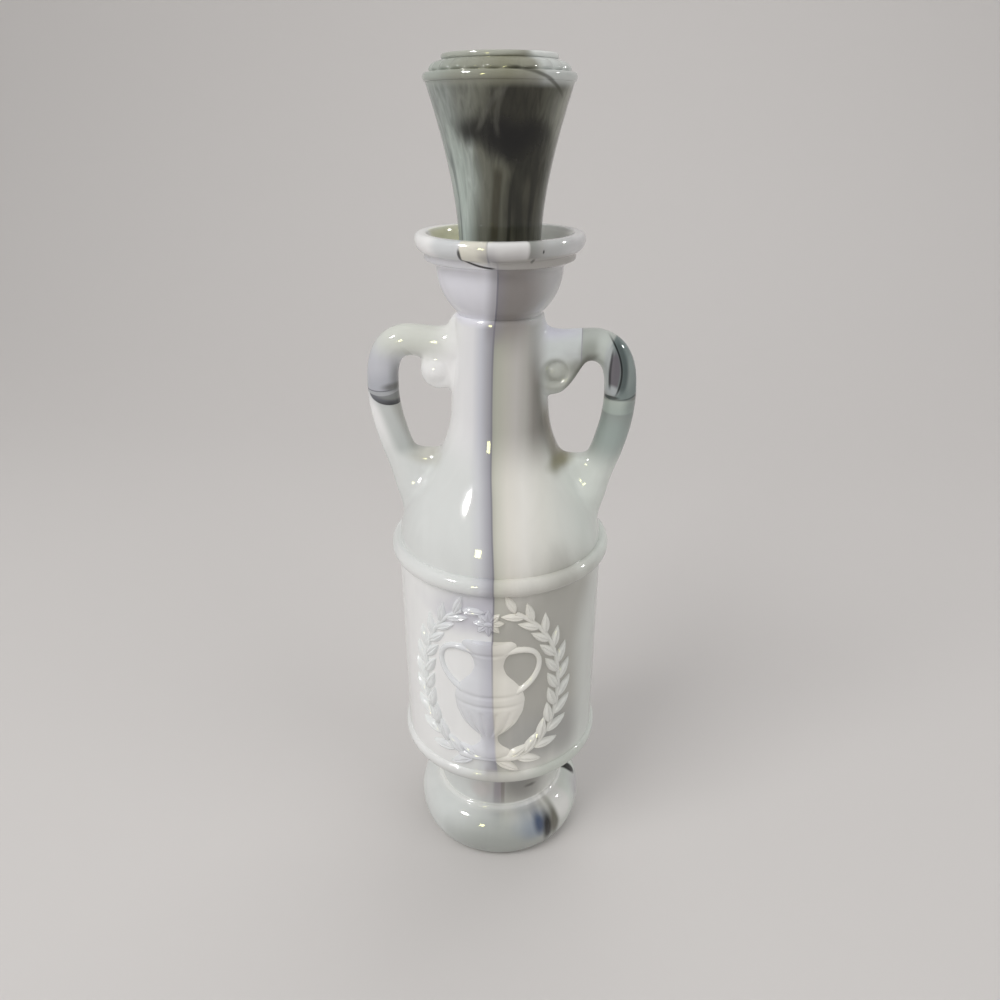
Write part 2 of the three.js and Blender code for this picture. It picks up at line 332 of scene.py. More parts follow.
def polarTree():  # where a point is on a turned piece: degrees from the front, height and radius in mm
    tree, wires, given, result = newTree(
        "polarPlace",
        "ShaderNodeTree",
        [],
        floats("Angle", "Height", "Radius", "X", "Inward") + [("Point", "Vector")],
    )
    place = wires.add("ShaderNodeTexCoord").outputs
    point = wires.vector("MULTIPLY", place["Object"], (1 / mm, 1 / mm, 1 / mm))["Vector"]
    parts = wires.add("ShaderNodeSeparateXYZ", {0: point}).outputs
    flat = wires.add("ShaderNodeCombineXYZ", {"X": parts["X"], "Y": parts["Y"]}).outputs[0]
    outward = wires.vector("NORMALIZE", flat)["Vector"]
    upAndIn = wires.vector("SUBTRACT", (0.0, 0.0, 1.0), outward)["Vector"]
    front = wires.times(parts["Y"], -1.0)
    found = {
        "Angle": wires.math("DEGREES", wires.math("ARCTAN2", parts["X"], front)),
        "Height": parts["Z"],
        "Radius": wires.vector("LENGTH", flat)["Value"],
        "X": parts["X"],
        "Inward": wires.vector("DOT_PRODUCT", place["Normal"], upAndIn)["Value"],  # over 0: faces up or in
        "Point": point,
    }
    for label, value in found.items():
        wires.put(result[label], value)
    return tree


def drawnOut(wires, given):  # the point, with its height drawn out
    draw = wires.add("ShaderNodeCombineXYZ", {"X": 1.0, "Y": 1.0, "Z": given["Draw"]}).outputs[0]
    return wires.vector("MULTIPLY", given["Point"], draw)["Vector"]


def driftTree():  # a place on the glass, moved about as if the glass had swirled
    tree, wires, given, result = newTree(
        "glassDrift",
        "ShaderNodeTree",
        [("Point", "Vector")] + floats("Angle", "Height", "Size", "Draw", "Turn", "Rise"),
        floats("Angle", "Height"),
    )
    scale = wires.over(1.0, given["Size"])
    field = wires.add(
        "ShaderNodeTexNoise",
        {"Vector": drawnOut(wires, given), "Scale": scale, "Detail": 1.0, "Roughness": 0.45},
    )
    swirl = wires.add("ShaderNodeSeparateXYZ", {0: field.outputs["Color"]}).outputs
    for label, part, amount in (("Angle", "X", "Turn"), ("Height", "Y", "Rise")):
        moved = wires.times(wires.minus(swirl[part], 0.5), given[amount])
        wires.put(result[label], wires.plus(given[label], moved))
    return tree


markLabels = {
    "patch": ("Across middle", "Along middle", "Half across", "Half along", "Softness", "Wander"),
    "stroke": ("Across middle", "Along middle", "Lean", "Bow", "Half width", "Half length", "Softness"),
}


def markTree(name, kind):
    return newTree(
        name, "ShaderNodeTree", floats("Across", "Along", *markLabels[kind], "Noise"), floats("Mask")
    )


def patchTree():  # an oval patch with a soft and wandering edge
    tree, wires, given, result = markTree("marblePatch", "patch")
    across = wires.over(wires.minus(given["Across"], given["Across middle"]), given["Half across"])
    along = wires.over(wires.minus(given["Along"], given["Along middle"]), given["Half along"])
    reach = wires.math("SQRT", wires.plus(wires.times(across, across), wires.times(along, along)))
    wander = wires.times(wires.minus(given["Noise"], 0.5), given["Wander"], 2.0)
    low = wires.minus(1.0, given["Softness"])
    high = wires.plus(1.0, given["Softness"])
    wires.put(result["Mask"], wires.minus(1.0, wires.fade(wires.plus(reach, wander), low, high)))
    return tree


def strokeTree():  # a thin curved mark with tapering ends
    tree, wires, given, result = markTree("marbleStroke", "stroke")
    along = wires.minus(given["Along"], given["Along middle"])
    bow = wires.times(given["Bow"], wires.times(along, along))
    lean = wires.times(given["Lean"], along)
    middle = wires.plus(given["Across middle"], wires.plus(bow, lean))
    off = wires.math("ABSOLUTE", wires.minus(given["Across"], middle))
    thick = wires.times(given["Half width"], wires.plus(given["Noise"], 0.5))
    line = wires.minus(1.0, wires.fade(off, thick, wires.plus(thick, given["Softness"])))
    taperStart = wires.times(given["Half length"], 0.6)
    ends = wires.minus(1.0, wires.fade(wires.math("ABSOLUTE", along), taperStart, given["Half length"]))
    wires.put(result["Mask"], wires.times(line, ends))
    return tree


def marblingTree():  # slow clouds, and long streaks drawn out along the height
    tree, wires, given, result = newTree(
        "glassMarbling",
        "ShaderNodeTree",
        [("Point", "Vector")] + floats("Cloud size", "Streak size", "Draw"),
        floats("Cloud", "Streak"),
    )
    for label, point, distortion in (("Cloud", given["Point"], 0.8), ("Streak", drawnOut(wires, given), 0.6)):
        scale = wires.over(1.0, given[label + " size"])
        wires.put(result[label], wires.noise(point, scale, detail=3.0, distortion=distortion))
    return tree


def polishTree():  # fire polish: slow waves in the surface, and a fine bloom in its gloss
    tree, wires, given, result = newTree(
        "firePolish",
        "ShaderNodeTree",
        [("Point", "Vector")] + floats("Smoothest", "Dullest", "Wave size"),
        floats("Roughness", "Height"),
    )
    wave = wires.noise(given["Point"], wires.over(1.0, given["Wave size"]), detail=1.5)
    bloom = wires.noise(given["Point"], 0.35, detail=4.0)
    spread = wires.minus(given["Dullest"], given["Smoothest"])
    wires.put(result["Roughness"], wires.plus(given["Smoothest"], wires.times(spread, bloom)))
    wires.put(result["Height"], wave)
    return tree


polarPlace = polarTree()
glassDrift = driftTree()
marblePatch = patchTree()
marbleStroke = strokeTree()
glassMarbling = marblingTree()
firePolish = polishTree()


def newMaterial(name):
    material = bpy.data.materials.new(name)
    material.use_nodes = True
    material.node_tree.nodes.clear()
    wires = Wiring(material.node_tree)
    shader = wires.add("ShaderNodeBsdfPrincipled")
    end = wires.add("ShaderNodeOutputMaterial")
    wires.put(end.inputs["Surface"], shader.outputs[0])
    return material, wires, shader


def marbled(wires, polar, look):
    return wires.group(
        glassMarbling,
        {
            "Point": polar["Point"], "Cloud size": look["cloudSize"],
            "Streak size": look["streakSize"], "Draw": look["streakDraw"],
        },
    )


def drifted(wires, polar, look):
    place = {label: polar[label] for label in ("Point", "Angle", "Height")}
    return wires.group(glassDrift, {**place, **dict(zip(("Size", "Draw", "Turn", "Rise"), look["drift"]))})


def polished(wires, shader, polar, look):
    polish = wires.group(
        firePolish,
        {
            "Point": polar["Point"], "Smoothest": look["smoothest"],
            "Dullest": look["dullest"], "Wave size": look["waveSize"],
        },
    )
    bump = wires.add(
        "ShaderNodeBump", {"Height": polish["Height"], "Strength": 0.25, "Distance": look["waveDepth"]}
    )
    wires.put(shader.inputs["Roughness"], polish["Roughness"])
    wires.put(shader.inputs["Normal"], bump.outputs[0])


def ramp(wires, value, stops):  # stops of (value, colour)
    low, high = stops[0][0], stops[-1][0]
    node = wires.add("ShaderNodeValToRGB")
    share = wires.add("ShaderNodeMapRange", {"Value": value, "From Min": low, "From Max": high})
    wires.put(node.inputs["Fac"], share.outputs["Result"])
    for _ in stops[2:]:
        node.color_ramp.elements.new(0.5)
    for element, (place, colour) in zip(node.color_ramp.elements, stops):
        element.position = (place - low) / (high - low)
        element.color = tone(*colour)
    return node.outputs["Color"]


markTrees = {"patch": marblePatch, "stroke": marbleStroke}


def paint(wires, colour, marks, places, noise, sides):
    for label, numbers, above, strength in marks:
        kind, place, *side = label.split()
        across, along = places[place]
        named = dict(zip(markLabels[kind], numbers))
        named.update({"Across": across, "Along": along, "Noise": noise})
        mask = wires.group(markTrees[kind], named)["Mask"]
        if side:
            mask = wires.times(mask, sides[side[0]])
        if strength < 1:
            mask = wires.times(mask, strength)
        colour = wires.blend(mask, colour, tone(*above))
    return colour


opal = dict(
    backWhite=(0.82, 0.83, 0.825), backGreen=(0.74, 0.76, 0.745), seamLine=(0.43, 0.42, 0.47), ior=1.52,
    cloudSize=45.0, cloudFade=(0.4, 0.66), streakSize=10.0, streakDraw=0.2, streakLevels=(0.975, 1.02),
    drift=(22.0, 0.6, 20.0, 12.0),  # size, draw along the height, turn in degrees, rise in mm
    smoothest=0.03, dullest=0.09, waveSize=16.0, waveDepth=0.0006,
    # where one colouring gives way to another: none of it at the first value, all of it at the second
    frontEnd=(150.0, 100.0), neckStart=(184.0, 204.0),
    cupBack=(88.0, 100.0), cupFacing=(-0.6, -0.1), cupMiddle=(-4.0, 8.0),
    armTop=(244.0, 242.5), armBase=(204.0, 216.0), armReach=(15.0, 19.5),
    seamSide=(-0.2, 0.5), seamHalf=(0.5, 0.15), seamTop=(265.5, 262.0), seamBase=(60.0, 140.0),
    seamLeast=0.2, seamMore=0.45,  # strength of the line over the rim, and how much more below it
    seam=[  # height, degrees
        (0, 6), (20, 5.5), (45, 5.5), (75, 3.2), (121, 2), (150, 2.7), (174, 0.7), (196, -3), (225, -3),
        (240, -1), (254, 3.6), (265.5, 4.3), (267.5, -2), (280, -2),
    ],
    # mm to the right of the seam, colour
    acrossBody=[
        (-30, (0.83, 0.84, 0.835)), (-9, (0.81, 0.82, 0.815)), (-5, (0.765, 0.77, 0.785)),
        (-2, (0.65, 0.65, 0.675)), (-0.4, (0.575, 0.575, 0.605)), (0.4, (0.69, 0.69, 0.65)),
        (2, (0.75, 0.75, 0.71)), (6, (0.82, 0.81, 0.78)), (12, (0.85, 0.845, 0.825)),
        (20, (0.815, 0.815, 0.79)), (30, (0.80, 0.81, 0.79)), (42, (0.79, 0.81, 0.79)),
    ],
    acrossNeck=[
        (-25, (0.95, 0.95, 0.95)), (-13, (0.88, 0.88, 0.885)), (-8, (0.85, 0.85, 0.86)),
        (-4.5, (0.735, 0.74, 0.77)), (-2, (0.63, 0.63, 0.655)), (-0.4, (0.55, 0.55, 0.575)),
        (0.4, (0.62, 0.625, 0.585)), (2, (0.66, 0.665, 0.62)), (5, (0.695, 0.69, 0.655)),
        # the darkest stops on the far right are partly the glass's dark streak, partly painted shade beside
        # the right handle's hole
        (9, (0.715, 0.705, 0.69)), (13, (0.67, 0.665, 0.645)), (17, (0.53, 0.52, 0.50)),
        (25, (0.46, 0.45, 0.43)),
    ],
    acrossRelief=[
        (-30, (0.88, 0.89, 0.89)), (-6, (0.81, 0.815, 0.835)), (-0.4, (0.71, 0.71, 0.745)),
        (0.4, (0.81, 0.80, 0.765)), (5, (0.865, 0.855, 0.825)), (30, (0.81, 0.815, 0.80)),
    ],
    # kind, coordinates that place it, side that it keeps to; numbers as in markLabels; colour; strength
    marks=[
        # panel
        ("patch drift right", (42, 112, 46, 42, 0.3, 0.12), (0.635, 0.63, 0.605), 0.92),
        ("patch drift right", (34, 73, 34, 13, 0.6, 0.2), (0.60, 0.60, 0.59), 0.85),
        ("patch drift right", (74, 104, 21, 44, 0.5, 0.15), (0.79, 0.805, 0.79), 0.85),
        ("patch drift left", (-45, 102, 62, 47, 0.2, 0.1), (0.91, 0.93, 0.94), 0.9),
        ("patch drift left", (-8, 137, 24, 9, 0.6, 0.2), (0.71, 0.705, 0.75), 0.7),
        # crotches: painted shade along the neck's right edge down into the crotch, tinted olive like the
        # glass there, and painted shade in the left crotch
        ("stroke flat", (21.6, 199, -0.22, 0.0, 1.0, 17, 3.0), (0.46, 0.445, 0.385), 0.85),
        ("patch flat", (25.0, 188.2, 4.2, 2.6, 0.7, 0.15), (0.50, 0.49, 0.40), 0.75),
        ("patch flat", (-30, 188, 6, 4, 0.6, 0.2), (0.68, 0.675, 0.62), 0.6),
        # rim
        ("patch exact", (-31, 270, 12, 9, 0.5, 0.1), (0.75, 0.765, 0.775), 0.7),
        ("patch exact", (-11, 270, 9.2, 12, 0.05, 0.0), (0.85, 0.84, 0.79), 0.92),
        ("patch exact", (11.5, 271, 13.4, 12, 0.05, 0.0), (0.97, 0.965, 0.94), 0.97),
        ("patch exact", (28, 269.5, 3.6, 6, 0.5, 0.3), (0.50, 0.52, 0.50), 0.85),
        ("patch exact", (46, 269, 16, 8, 0.5, 0.1), (0.735, 0.745, 0.745), 0.85),
        ("patch exact", (90, 269, 36, 9, 0.3, 0.0), (0.77, 0.77, 0.775), 0.95),
        # cup
        ("patch exact left", (-35, 254, 75, 12, 0.12, 0.03), (0.85, 0.85, 0.88), 0.95),
        ("patch exact right", (60, 254, 64, 12, 0.12, 0.03), (0.71, 0.71, 0.715), 0.95),
        ("patch exact right", (16, 253, 32, 16, 0.62, 0.05), (0.515, 0.495, 0.485), 0.95),
        ("stroke seam", (0, 254, 0, 0, 0.5, 20, 4.5), (0.53, 0.52, 0.54), 0.65),
        ("patch exact", (-50, 265, 54, 1.5, 0.4, 0.05), (0.77, 0.77, 0.785), 0.8),
        ("patch exact", (46, 265.3, 44, 2.2, 0.25, 0.05), (0.635, 0.625, 0.61), 0.95),
        ("patch section inLeft", (19, 268, 8.2, 11, 0.15, 0.05), (0.90, 0.895, 0.775), 0.95),
        # inside the cup, back right: near white, painted light standing in for the glow through the glass
        # where the stopper shades the wall
        ("patch section inRight", (19, 268, 8.2, 11, 0.15, 0.05), (0.97, 0.945, 0.90), 0.97),
        ("stroke sideways", (264.9, -9, -0.115, 0.004, 0.2, 14, 0.3), (0.12, 0.11, 0.12), 0.95),
        ("patch exact", (-20.6, 268.4, 1.1, 1.9, 0.5, 0.2), (0.13, 0.12, 0.12), 0.9),
        ("patch exact", (28.5, 266.4, 1.2, 0.8, 0.6, 0.3), (0.34, 0.34, 0.32), 0.8),
        ("patch exact", (34, 269.5, 0.6, 0.6, 0.6, 0.3), (0.15, 0.15, 0.15), 0.9),
        # right handle, from the neck to the root
        ("patch exact", (96, 236, 46, 18, 0.35, 0.05), (0.74, 0.75, 0.745), 0.85),
        ("patch flat arm", (34, 231, 16, 15, 0.1, 0.0), (0.67, 0.69, 0.67), 0.95),
        ("patch flat arm", (12, 234, 19.2, 36, 0.015, 0.0), (0.81, 0.83, 0.83), 0.9),
        ("patch flat arm", (19, 240.5, 12.5, 4.8, 0.5, 0.0), (0.85, 0.85, 0.90), 0.85),
        ("patch flat arm", (34.4, 238, 3.6, 9, 0.02, 0.0), (0.68, 0.70, 0.68), 0.95),
        ("patch flat arm", (34.4, 231.0, 3.4, 4.0, 0.7, 0.1), (0.58, 0.60, 0.57), 0.8),
        ("patch flat arm", (39.4, 232.5, 2.6, 5.0, 0.6, 0.1), (0.75, 0.775, 0.755), 0.75),
        ("patch flat arm", (21.5, 221.0, 9.0, 7.0, 0.5, 0.1), (0.67, 0.68, 0.65), 0.95),
        # painted shade along the upper edge of the right hole, under the scroll
        ("patch flat", (31, 224.8, 4.5, 3.0, 0.6, 0.1), (0.50, 0.505, 0.47), 0.7),
        ("stroke flat", (31.0, 223.0, 0.59, 0.0, 0.9, 8.5, 2.6), (0.42, 0.42, 0.39), 0.75),
        ("stroke flat", (31.0, 234.0, 0.0, 0.0, 0.08, 9.0, 0.25), (0.56, 0.55, 0.60), 0.6),
        ("patch flat", (48, 225.5, 8.0, 13.0, 0.05, 0.0), (0.44, 0.485, 0.48), 0.97),
        ("patch flat", (49.8, 224, 1.5, 8, 0.6, 0.1), (0.54, 0.575, 0.565), 0.7),
        ("stroke flat", (47.3, 225.5, -0.139, -0.0257, 0.5, 12.0, 1.5), (0.25, 0.29, 0.29), 0.8),
        ("patch flat", (41.4, 224.5, 2.0, 10.0, 0.3, 0.05), (0.70, 0.72, 0.72), 0.9),
        ("patch flat", (43.6, 223.6, 2.1, 7.4, 0.25, 0.1), (0.39, 0.375, 0.40), 0.95),
        ("patch flat", (43.0, 216.3, 2.3, 1.9, 0.5, 0.1), (0.68, 0.70, 0.71), 0.85),
        ("stroke flat", (42.0, 224.5, 0.03, 0.006, 0.12, 9.0, 0.6), (0.20, 0.20, 0.21), 0.8),
        ("patch flat", (42.6, 213.7, 3.0, 0.6, 0.4, 0.1), (0.10, 0.12, 0.12), 0.9),
        ("stroke flat", (46.1, 225.5, -0.139, -0.0257, 0.24, 13.0, 0.3), (0.09, 0.11, 0.11), 0.95),
        ("stroke flatSideways", (212.8, 45.6, 0.0, 0.035, 0.22, 9.0, 0.35), (0.20, 0.23, 0.23), 0.9),
        ("patch flat", (46, 209.9, 10, 2.8, 0.2, 0.05), (0.69, 0.725, 0.695), 0.9),
        ("patch flat", (51.5, 209, 3.4, 4.5, 0.6, 0.1), (0.47, 0.50, 0.49), 0.75),
        ("patch flat", (44, 199.0, 10, 10.5, 0.75, 0.1), (0.585, 0.63, 0.615), 0.9),
        # left handle
        ("stroke flat", (-40.8, 199.5, -0.357, 0.0, 2.0, 15.0, 4.5), (0.665, 0.685, 0.675), 0.75),
        # painted shade along the arm's inner edge, the side facing the hole
        ("stroke flat", (-37.0, 199.0, -0.357, 0.0, 0.6, 14.0, 3.0), (0.60, 0.60, 0.575), 0.65),
        ("patch flat", (-40.5, 213.0, 10.6, 5.5, 0.03, 0.0), (0.02, 0.03, 0.03), 0.98),
        ("patch flat", (-39.8, 214.6, 9.4, 5.2, 0.14, 0.03), (0.43, 0.44, 0.405), 0.95),
        ("patch flat", (-46, 223, 14, 11.5, 0.02, 0.0), (0.69, 0.70, 0.695), 0.97),
        ("patch flat", (-47.5, 224.5, 12, 11.3, 0.03, 0.0), (0.74, 0.745, 0.77), 0.97),
        ("patch flat", (-46, 214.5, 9, 5.0, 0.8, 0.05), (0.60, 0.61, 0.645), 0.55),
        # painted shade on the bend's inner edge, darkest at the end of the crescent
        ("patch flat", (-40.2, 217.0, 1.9, 7, 0.8, 0.1), (0.46, 0.465, 0.46), 0.65),
        ("patch flat", (-41.7, 214.8, 3.4, 1.4, 0.7, 0.2), (0.36, 0.36, 0.35), 0.8),
        ("stroke flatSideways", (213.35, -46.8, 0.0, 0.012, 0.1, 7.0, 0.25), (0.40, 0.40, 0.43), 0.8),
        ("patch flat", (-44, 236, 10, 6, 0.8, 0.1), (0.775, 0.785, 0.775), 0.85),
        ("patch flat", (-33, 236, 14, 9, 0.6, 0.1), (0.80, 0.81, 0.78), 0.95),
        # waist and foot
        ("patch drift", (28, 37, 40, 13, 0.5, 0.15), (0.70, 0.70, 0.69), 0.8),
        ("patch drift", (28, 37, 19, 13, 0.7, 0.15), (0.47, 0.465, 0.445), 0.75),
        ("patch drift", (-8, 36, 8, 8, 0.6, 0.3), (0.715, 0.70, 0.695), 0.7),
        ("stroke drift", (5.5, 40, 0.0, 0.0, 2.5, 24, 4.0), (0.55, 0.52, 0.55), 0.6),
        # painted shadow under the lower ring
        ("patch exact", (8, 48.5, 75, 6.0, 0.6, 0.1), (0.64, 0.635, 0.625), 0.6),
        ("patch exact", (-14, 33.0, 7, 5.0, 0.5, 0.2), (0.78, 0.765, 0.76), 0.7),
        ("stroke exact", (8.5, 38, 0.0, 0.0, 0.7, 18, 1.6), (0.46, 0.43, 0.42), 0.6),
        ("patch exact", (34.8, 33.4, 5, 1.1, 0.7, 1.1), (0.35, 0.34, 0.33), 0.7),
        # painted light: a pale band where the lip at the top of the foot catches the light
        ("patch exact", (0, 23.9, 105, 1.1, 0.5, 0.0), (0.90, 0.90, 0.89), 0.85),
        ("patch drift", (-32, 12, 26, 13, 0.7, 0.1), (0.775, 0.795, 0.79), 0.7),
        ("patch exact", (0, 12, 26, 13, 0.6, 0.05), (0.68, 0.695, 0.68), 0.9),
        # painted shade, darker towards the bottom of the foot
        ("patch drift", (14, 6, 44, 14, 0.55, 0.15), (0.61, 0.625, 0.61), 0.9),
        ("patch exact", (6, 55, 16, 3.4, 0.5, 0.05), (0.74, 0.74, 0.715), 0.75),
        ("patch exact", (44, 55, 24, 3.6, 0.5, 0.05), (0.715, 0.735, 0.705), 0.8),
        ("patch drift", (33, 17, 13, 6.0, 0.7, 0.15), (0.50, 0.545, 0.60), 0.75),
        ("patch drift", (38.5, 17.5, 5.5, 5.5, 0.7, 0.2), (0.20, 0.26, 0.37), 0.9),
        ("patch exact", (42, 13.0, 3.9, 7.8, 0.55, 0.15), (0.06, 0.06, 0.06), 0.97),
        ("patch exact", (48.5, 14.0, 4.0, 8.5, 0.6, 0.15), (0.33, 0.32, 0.275), 0.9),
        ("patch exact", (60, 19, 8, 7, 0.4, 0.15), (0.84, 0.84, 0.83), 0.9),
        ("patch exact", (85, 15.5, 10, 5.0, 0.7, 0.1), (0.66, 0.64, 0.67), 0.6),
        ("patch exact", (93.5, 21.8, 4.6, 3.0, 0.35, 0.25), (0.05, 0.04, 0.04), 0.97),
    ],
)


def streaked(wires, colour, streak, levels, low=0.3, high=0.7):  # lighter and darker along the streaks
    level = wires.add(
        "ShaderNodeMapRange",
        {"Value": streak, "From Min": low, "From Max": high, "To Min": levels[0], "To Max": levels[1]},
    ).outputs["Result"]
    grey = wires.add("ShaderNodeCombineColor", {0: level, 1: level, 2: level}).outputs[0]
    return wires.blend(1.0, colour, grey, "MULTIPLY")


def seamAngle(wires, height, span=40.0):  # degrees; 0.5 on the curve is straight ahead
    top = float(opal["seam"][-1][0])
    places = [(z / top, 0.5 + angle / span) for z, angle in opal["seam"]]
    curve = wires.add("ShaderNodeFloatCurve", {"Value": wires.over(height, top)})
    knots = curve.mapping.curves[0].points
    for place in places[1:-1]:
        knots.new(*place)
    for knot, place in zip(knots, places):
        knot.location = place
    curve.mapping.update()
    return wires.times(wires.minus(curve.outputs[0], 0.5), span)


def opalGlassMaterial(name, body, neck, marks):
    look = opal
    material, wires, shader = newMaterial(name)
    polar = wires.group(polarPlace)
    marble, drift = marbled(wires, polar, look), drifted(wires, polar, look)
    height, x = polar["Height"], polar["X"]
    off = wires.math("RADIANS", wires.minus(polar["Angle"], seamAngle(wires, height)))
    off = wires.times(off, polar["Radius"])  # mm to the right of the seam
    aside = wires.math("ABSOLUTE", polar["Angle"])
    onFront = wires.fade(aside, *look["frontEnd"])
    inside = wires.times(wires.fade(aside, *look["cupBack"]), wires.fade(polar["Inward"], *look["cupFacing"]))
    armEnds = wires.times(wires.fade(height, *look["armTop"]), wires.fade(height, *look["armBase"]))
    low, high = look["seamSide"]
    sides = {
        "right": wires.times(wires.fade(off, low, high), onFront),
        "left": wires.times(wires.fade(off, -low, -high), onFront),
        "inRight": wires.times(wires.fade(x, *look["cupMiddle"]), inside),
        "inLeft": wires.times(wires.fade(x, *look["cupMiddle"][::-1]), inside),
        "arm": wires.times(wires.fade(x, *look["armReach"]), armEnds),
    }
    places = {
        "exact": (polar["Angle"], height), "sideways": (height, polar["Angle"]),
        "flat": (x, height), "flatSideways": (height, x),
        "drift": (drift["Angle"], drift["Height"]),
        "seam": (off, height), "section": (polar["Radius"], height),
    }
    cloudy = wires.fade(marble["Cloud"], *look["cloudFade"])
    colour = wires.blend(cloudy, tone(*look["backWhite"]), tone(*look["backGreen"]))
    onNeck = wires.fade(height, *look["neckStart"])
    front = wires.blend(onNeck, ramp(wires, off, body), ramp(wires, off, neck))
    colour = wires.blend(onFront, colour, front)
    colour = paint(wires, colour, marks, places, marble["Streak"], sides)
    line = wires.times(wires.fade(wires.math("ABSOLUTE", off), *look["seamHalf"]), onFront)
    faint = wires.plus(wires.times(wires.fade(height, *look["seamTop"]), look["seamMore"]), look["seamLeast"])
    line = wires.times(line, faint, wires.fade(height, *look["seamBase"]))
    colour = wires.blend(line, colour, tone(*look["seamLine"]))
    colour = streaked(wires, colour, marble["Streak"], look["streakLevels"])
    wires.put(shader.inputs["Base Color"], colour)
    polished(wires, shader, polar, look)
    shader.inputs["IOR"].default_value = look["ior"]
    return material


smoky = dict(
    faceLight=(0.72, 0.74, 0.72), faceDark=(0.54, 0.555, 0.52), ior=1.52, specular=0.42,
    cloudSize=26.0, cloudFade=(0.36, 0.64), streakSize=2.0, streakDraw=0.04, streakLevels=(0.78, 1.2),
    drift=(16.0, 0.4, 44.0, 9.0),  # as for the opal glass
    smoothest=0.03, dullest=0.08, waveSize=12.0, waveDepth=0.0006,
    topStart=(317.4, 320.7), topStrength=0.9, faceEnd=(12.0, 18.2), capEdge=(16.0, 18.2),
    # degrees, colour: round the trumpet, and round the stepped top
    around=[
        (-176, (0.55, 0.575, 0.555)), (-90, (0.62, 0.655, 0.64)), (-62, (0.56, 0.585, 0.57)),
        (-40, (0.49, 0.51, 0.495)), (-14, (0.395, 0.40, 0.36)), (15, (0.33, 0.33, 0.285)),
        (45, (0.28, 0.28, 0.24)), (66, (0.35, 0.355, 0.32)), (90, (0.50, 0.51, 0.49)),
        (176, (0.55, 0.575, 0.555)),
    ],
    top=[
        (-176, (0.75, 0.77, 0.755)), (-90, (0.71, 0.74, 0.72)), (-45, (0.60, 0.62, 0.59)),
        (-15, (0.55, 0.555, 0.505)), (10, (0.51, 0.51, 0.44)), (28, (0.54, 0.54, 0.49)),
        (38, (0.735, 0.75, 0.74)), (90, (0.76, 0.775, 0.765)), (176, (0.75, 0.77, 0.755)),
    ],
    marks=[
        ("patch drift", (-45, 282, 20, 23, 0.8, 0.12), (0.68, 0.72, 0.695), 0.9),
        ("stroke drift", (-57, 282, 0.0, 0.0, 1.5, 24, 3.0), (0.44, 0.47, 0.46), 0.7),
        ("stroke drift", (-30, 290, 0.5, 0.0, 1.2, 20, 4.0), (0.66, 0.69, 0.67), 0.5),
        ("patch drift", (21, 312, 21, 12, 0.6, 0.3), (0.14, 0.135, 0.10), 0.92),
        ("patch drift", (22, 303, 34, 6.5, 0.5, 0.15), (0.05, 0.05, 0.035), 0.95),
        ("patch drift", (-15, 306, 18, 4.4, 0.75, 0.12), (0.09, 0.09, 0.07), 0.95),
        ("patch drift", (36, 290, 19, 19, 0.55, 0.25), (0.135, 0.135, 0.105), 0.9),
        ("patch drift", (20, 304.5, 24, 4.5, 0.8, 0.15), (0.012, 0.012, 0.008), 0.97),
        ("patch drift", (71, 312, 9, 11, 0.7, 0.15), (0.55, 0.555, 0.515), 0.8),
        ("stroke drift", (1, 313, 1.8, 0.0, 1.0, 9, 5.0), (0.42, 0.42, 0.39), 0.3),
        ("stroke drift", (9, 312, 0.4, 0.0, 0.6, 9, 3.0), (0.36, 0.36, 0.33), 0.3),
        ("stroke drift", (1, 283, 0.0, 0.0, 2.5, 15, 6.0), (0.22, 0.21, 0.155), 0.8),
        ("stroke drift", (22, 276, 0.0, 0.0, 1.0, 20, 2.5), (0.10, 0.10, 0.075), 0.7),
        ("stroke drift", (38, 276, 0.0, 0.0, 0.8, 18, 3.0), (0.33, 0.325, 0.275), 0.35),
        ("stroke drift", (50, 278, 0.0, 0.0, 0.8, 18, 2.5), (0.29, 0.285, 0.24), 0.4),
    ],
    topMarks=[
        ("stroke sideways", (321.3, 38, -0.15, -0.0023, 0.18, 31, 0.7), (0.22, 0.22, 0.18), 0.7),
        ("patch exact edge", (62, 327.8, 26, 1.3, 0.2, 0.0), (0.88, 0.89, 0.88), 0.65),
        ("patch exact edge", (-25, 327.8, 50, 1.3, 0.3, 0.0), (0.68, 0.69, 0.655), 0.7),
    ],
)


def smokyGlassMaterial():
    look = smoky
    material, wires, shader = newMaterial("smokyGlass")
    polar = wires.group(polarPlace)
    marble, drift = marbled(wires, polar, look), drifted(wires, polar, look)
    height, radius = polar["Height"], polar["Radius"]
    places = {
        "exact": (polar["Angle"], height), "sideways": (height, polar["Angle"]),
        "drift": (drift["Angle"], drift["Height"]),
    }
    colour = ramp(wires, drift["Angle"], look["around"])
    colour = paint(wires, colour, look["marks"], places, marble["Streak"], {})
    colour = streaked(wires, colour, marble["Streak"], look["streakLevels"])
    cloudy = wires.fade(marble["Cloud"], *look["cloudFade"])
    face = wires.blend(cloudy, tone(*look["faceLight"]), tone(*look["faceDark"]))
    top = ramp(wires, drift["Angle"], look["top"])
    top = wires.blend(wires.fade(radius, *look["faceEnd"]), face, top)
    onTop = wires.times(wires.fade(height, *look["topStart"]), look["topStrength"])
    colour = wires.blend(onTop, colour, top)
    sides = {"edge": wires.fade(radius, *look["capEdge"])}
    colour = paint(wires, colour, look["topMarks"], places, marble["Streak"], sides)
    wires.put(shader.inputs["Base Color"], colour)
    polished(wires, shader, polar, look)
    shader.inputs["IOR"].default_value = look["ior"]
    shader.inputs["Specular IOR Level"].default_value = look["specular"]
    return material


plastic = dict(
    pale=(0.88, 0.87, 0.83), yellowed=(0.83, 0.81, 0.76),
    cloudSize=14.0, cloudFade=(0.3, 0.7), streakSize=4.0, streakDraw=0.3,
    smoothest=0.32, dullest=0.5, waveSize=3.0, waveDepth=0.0002,
)


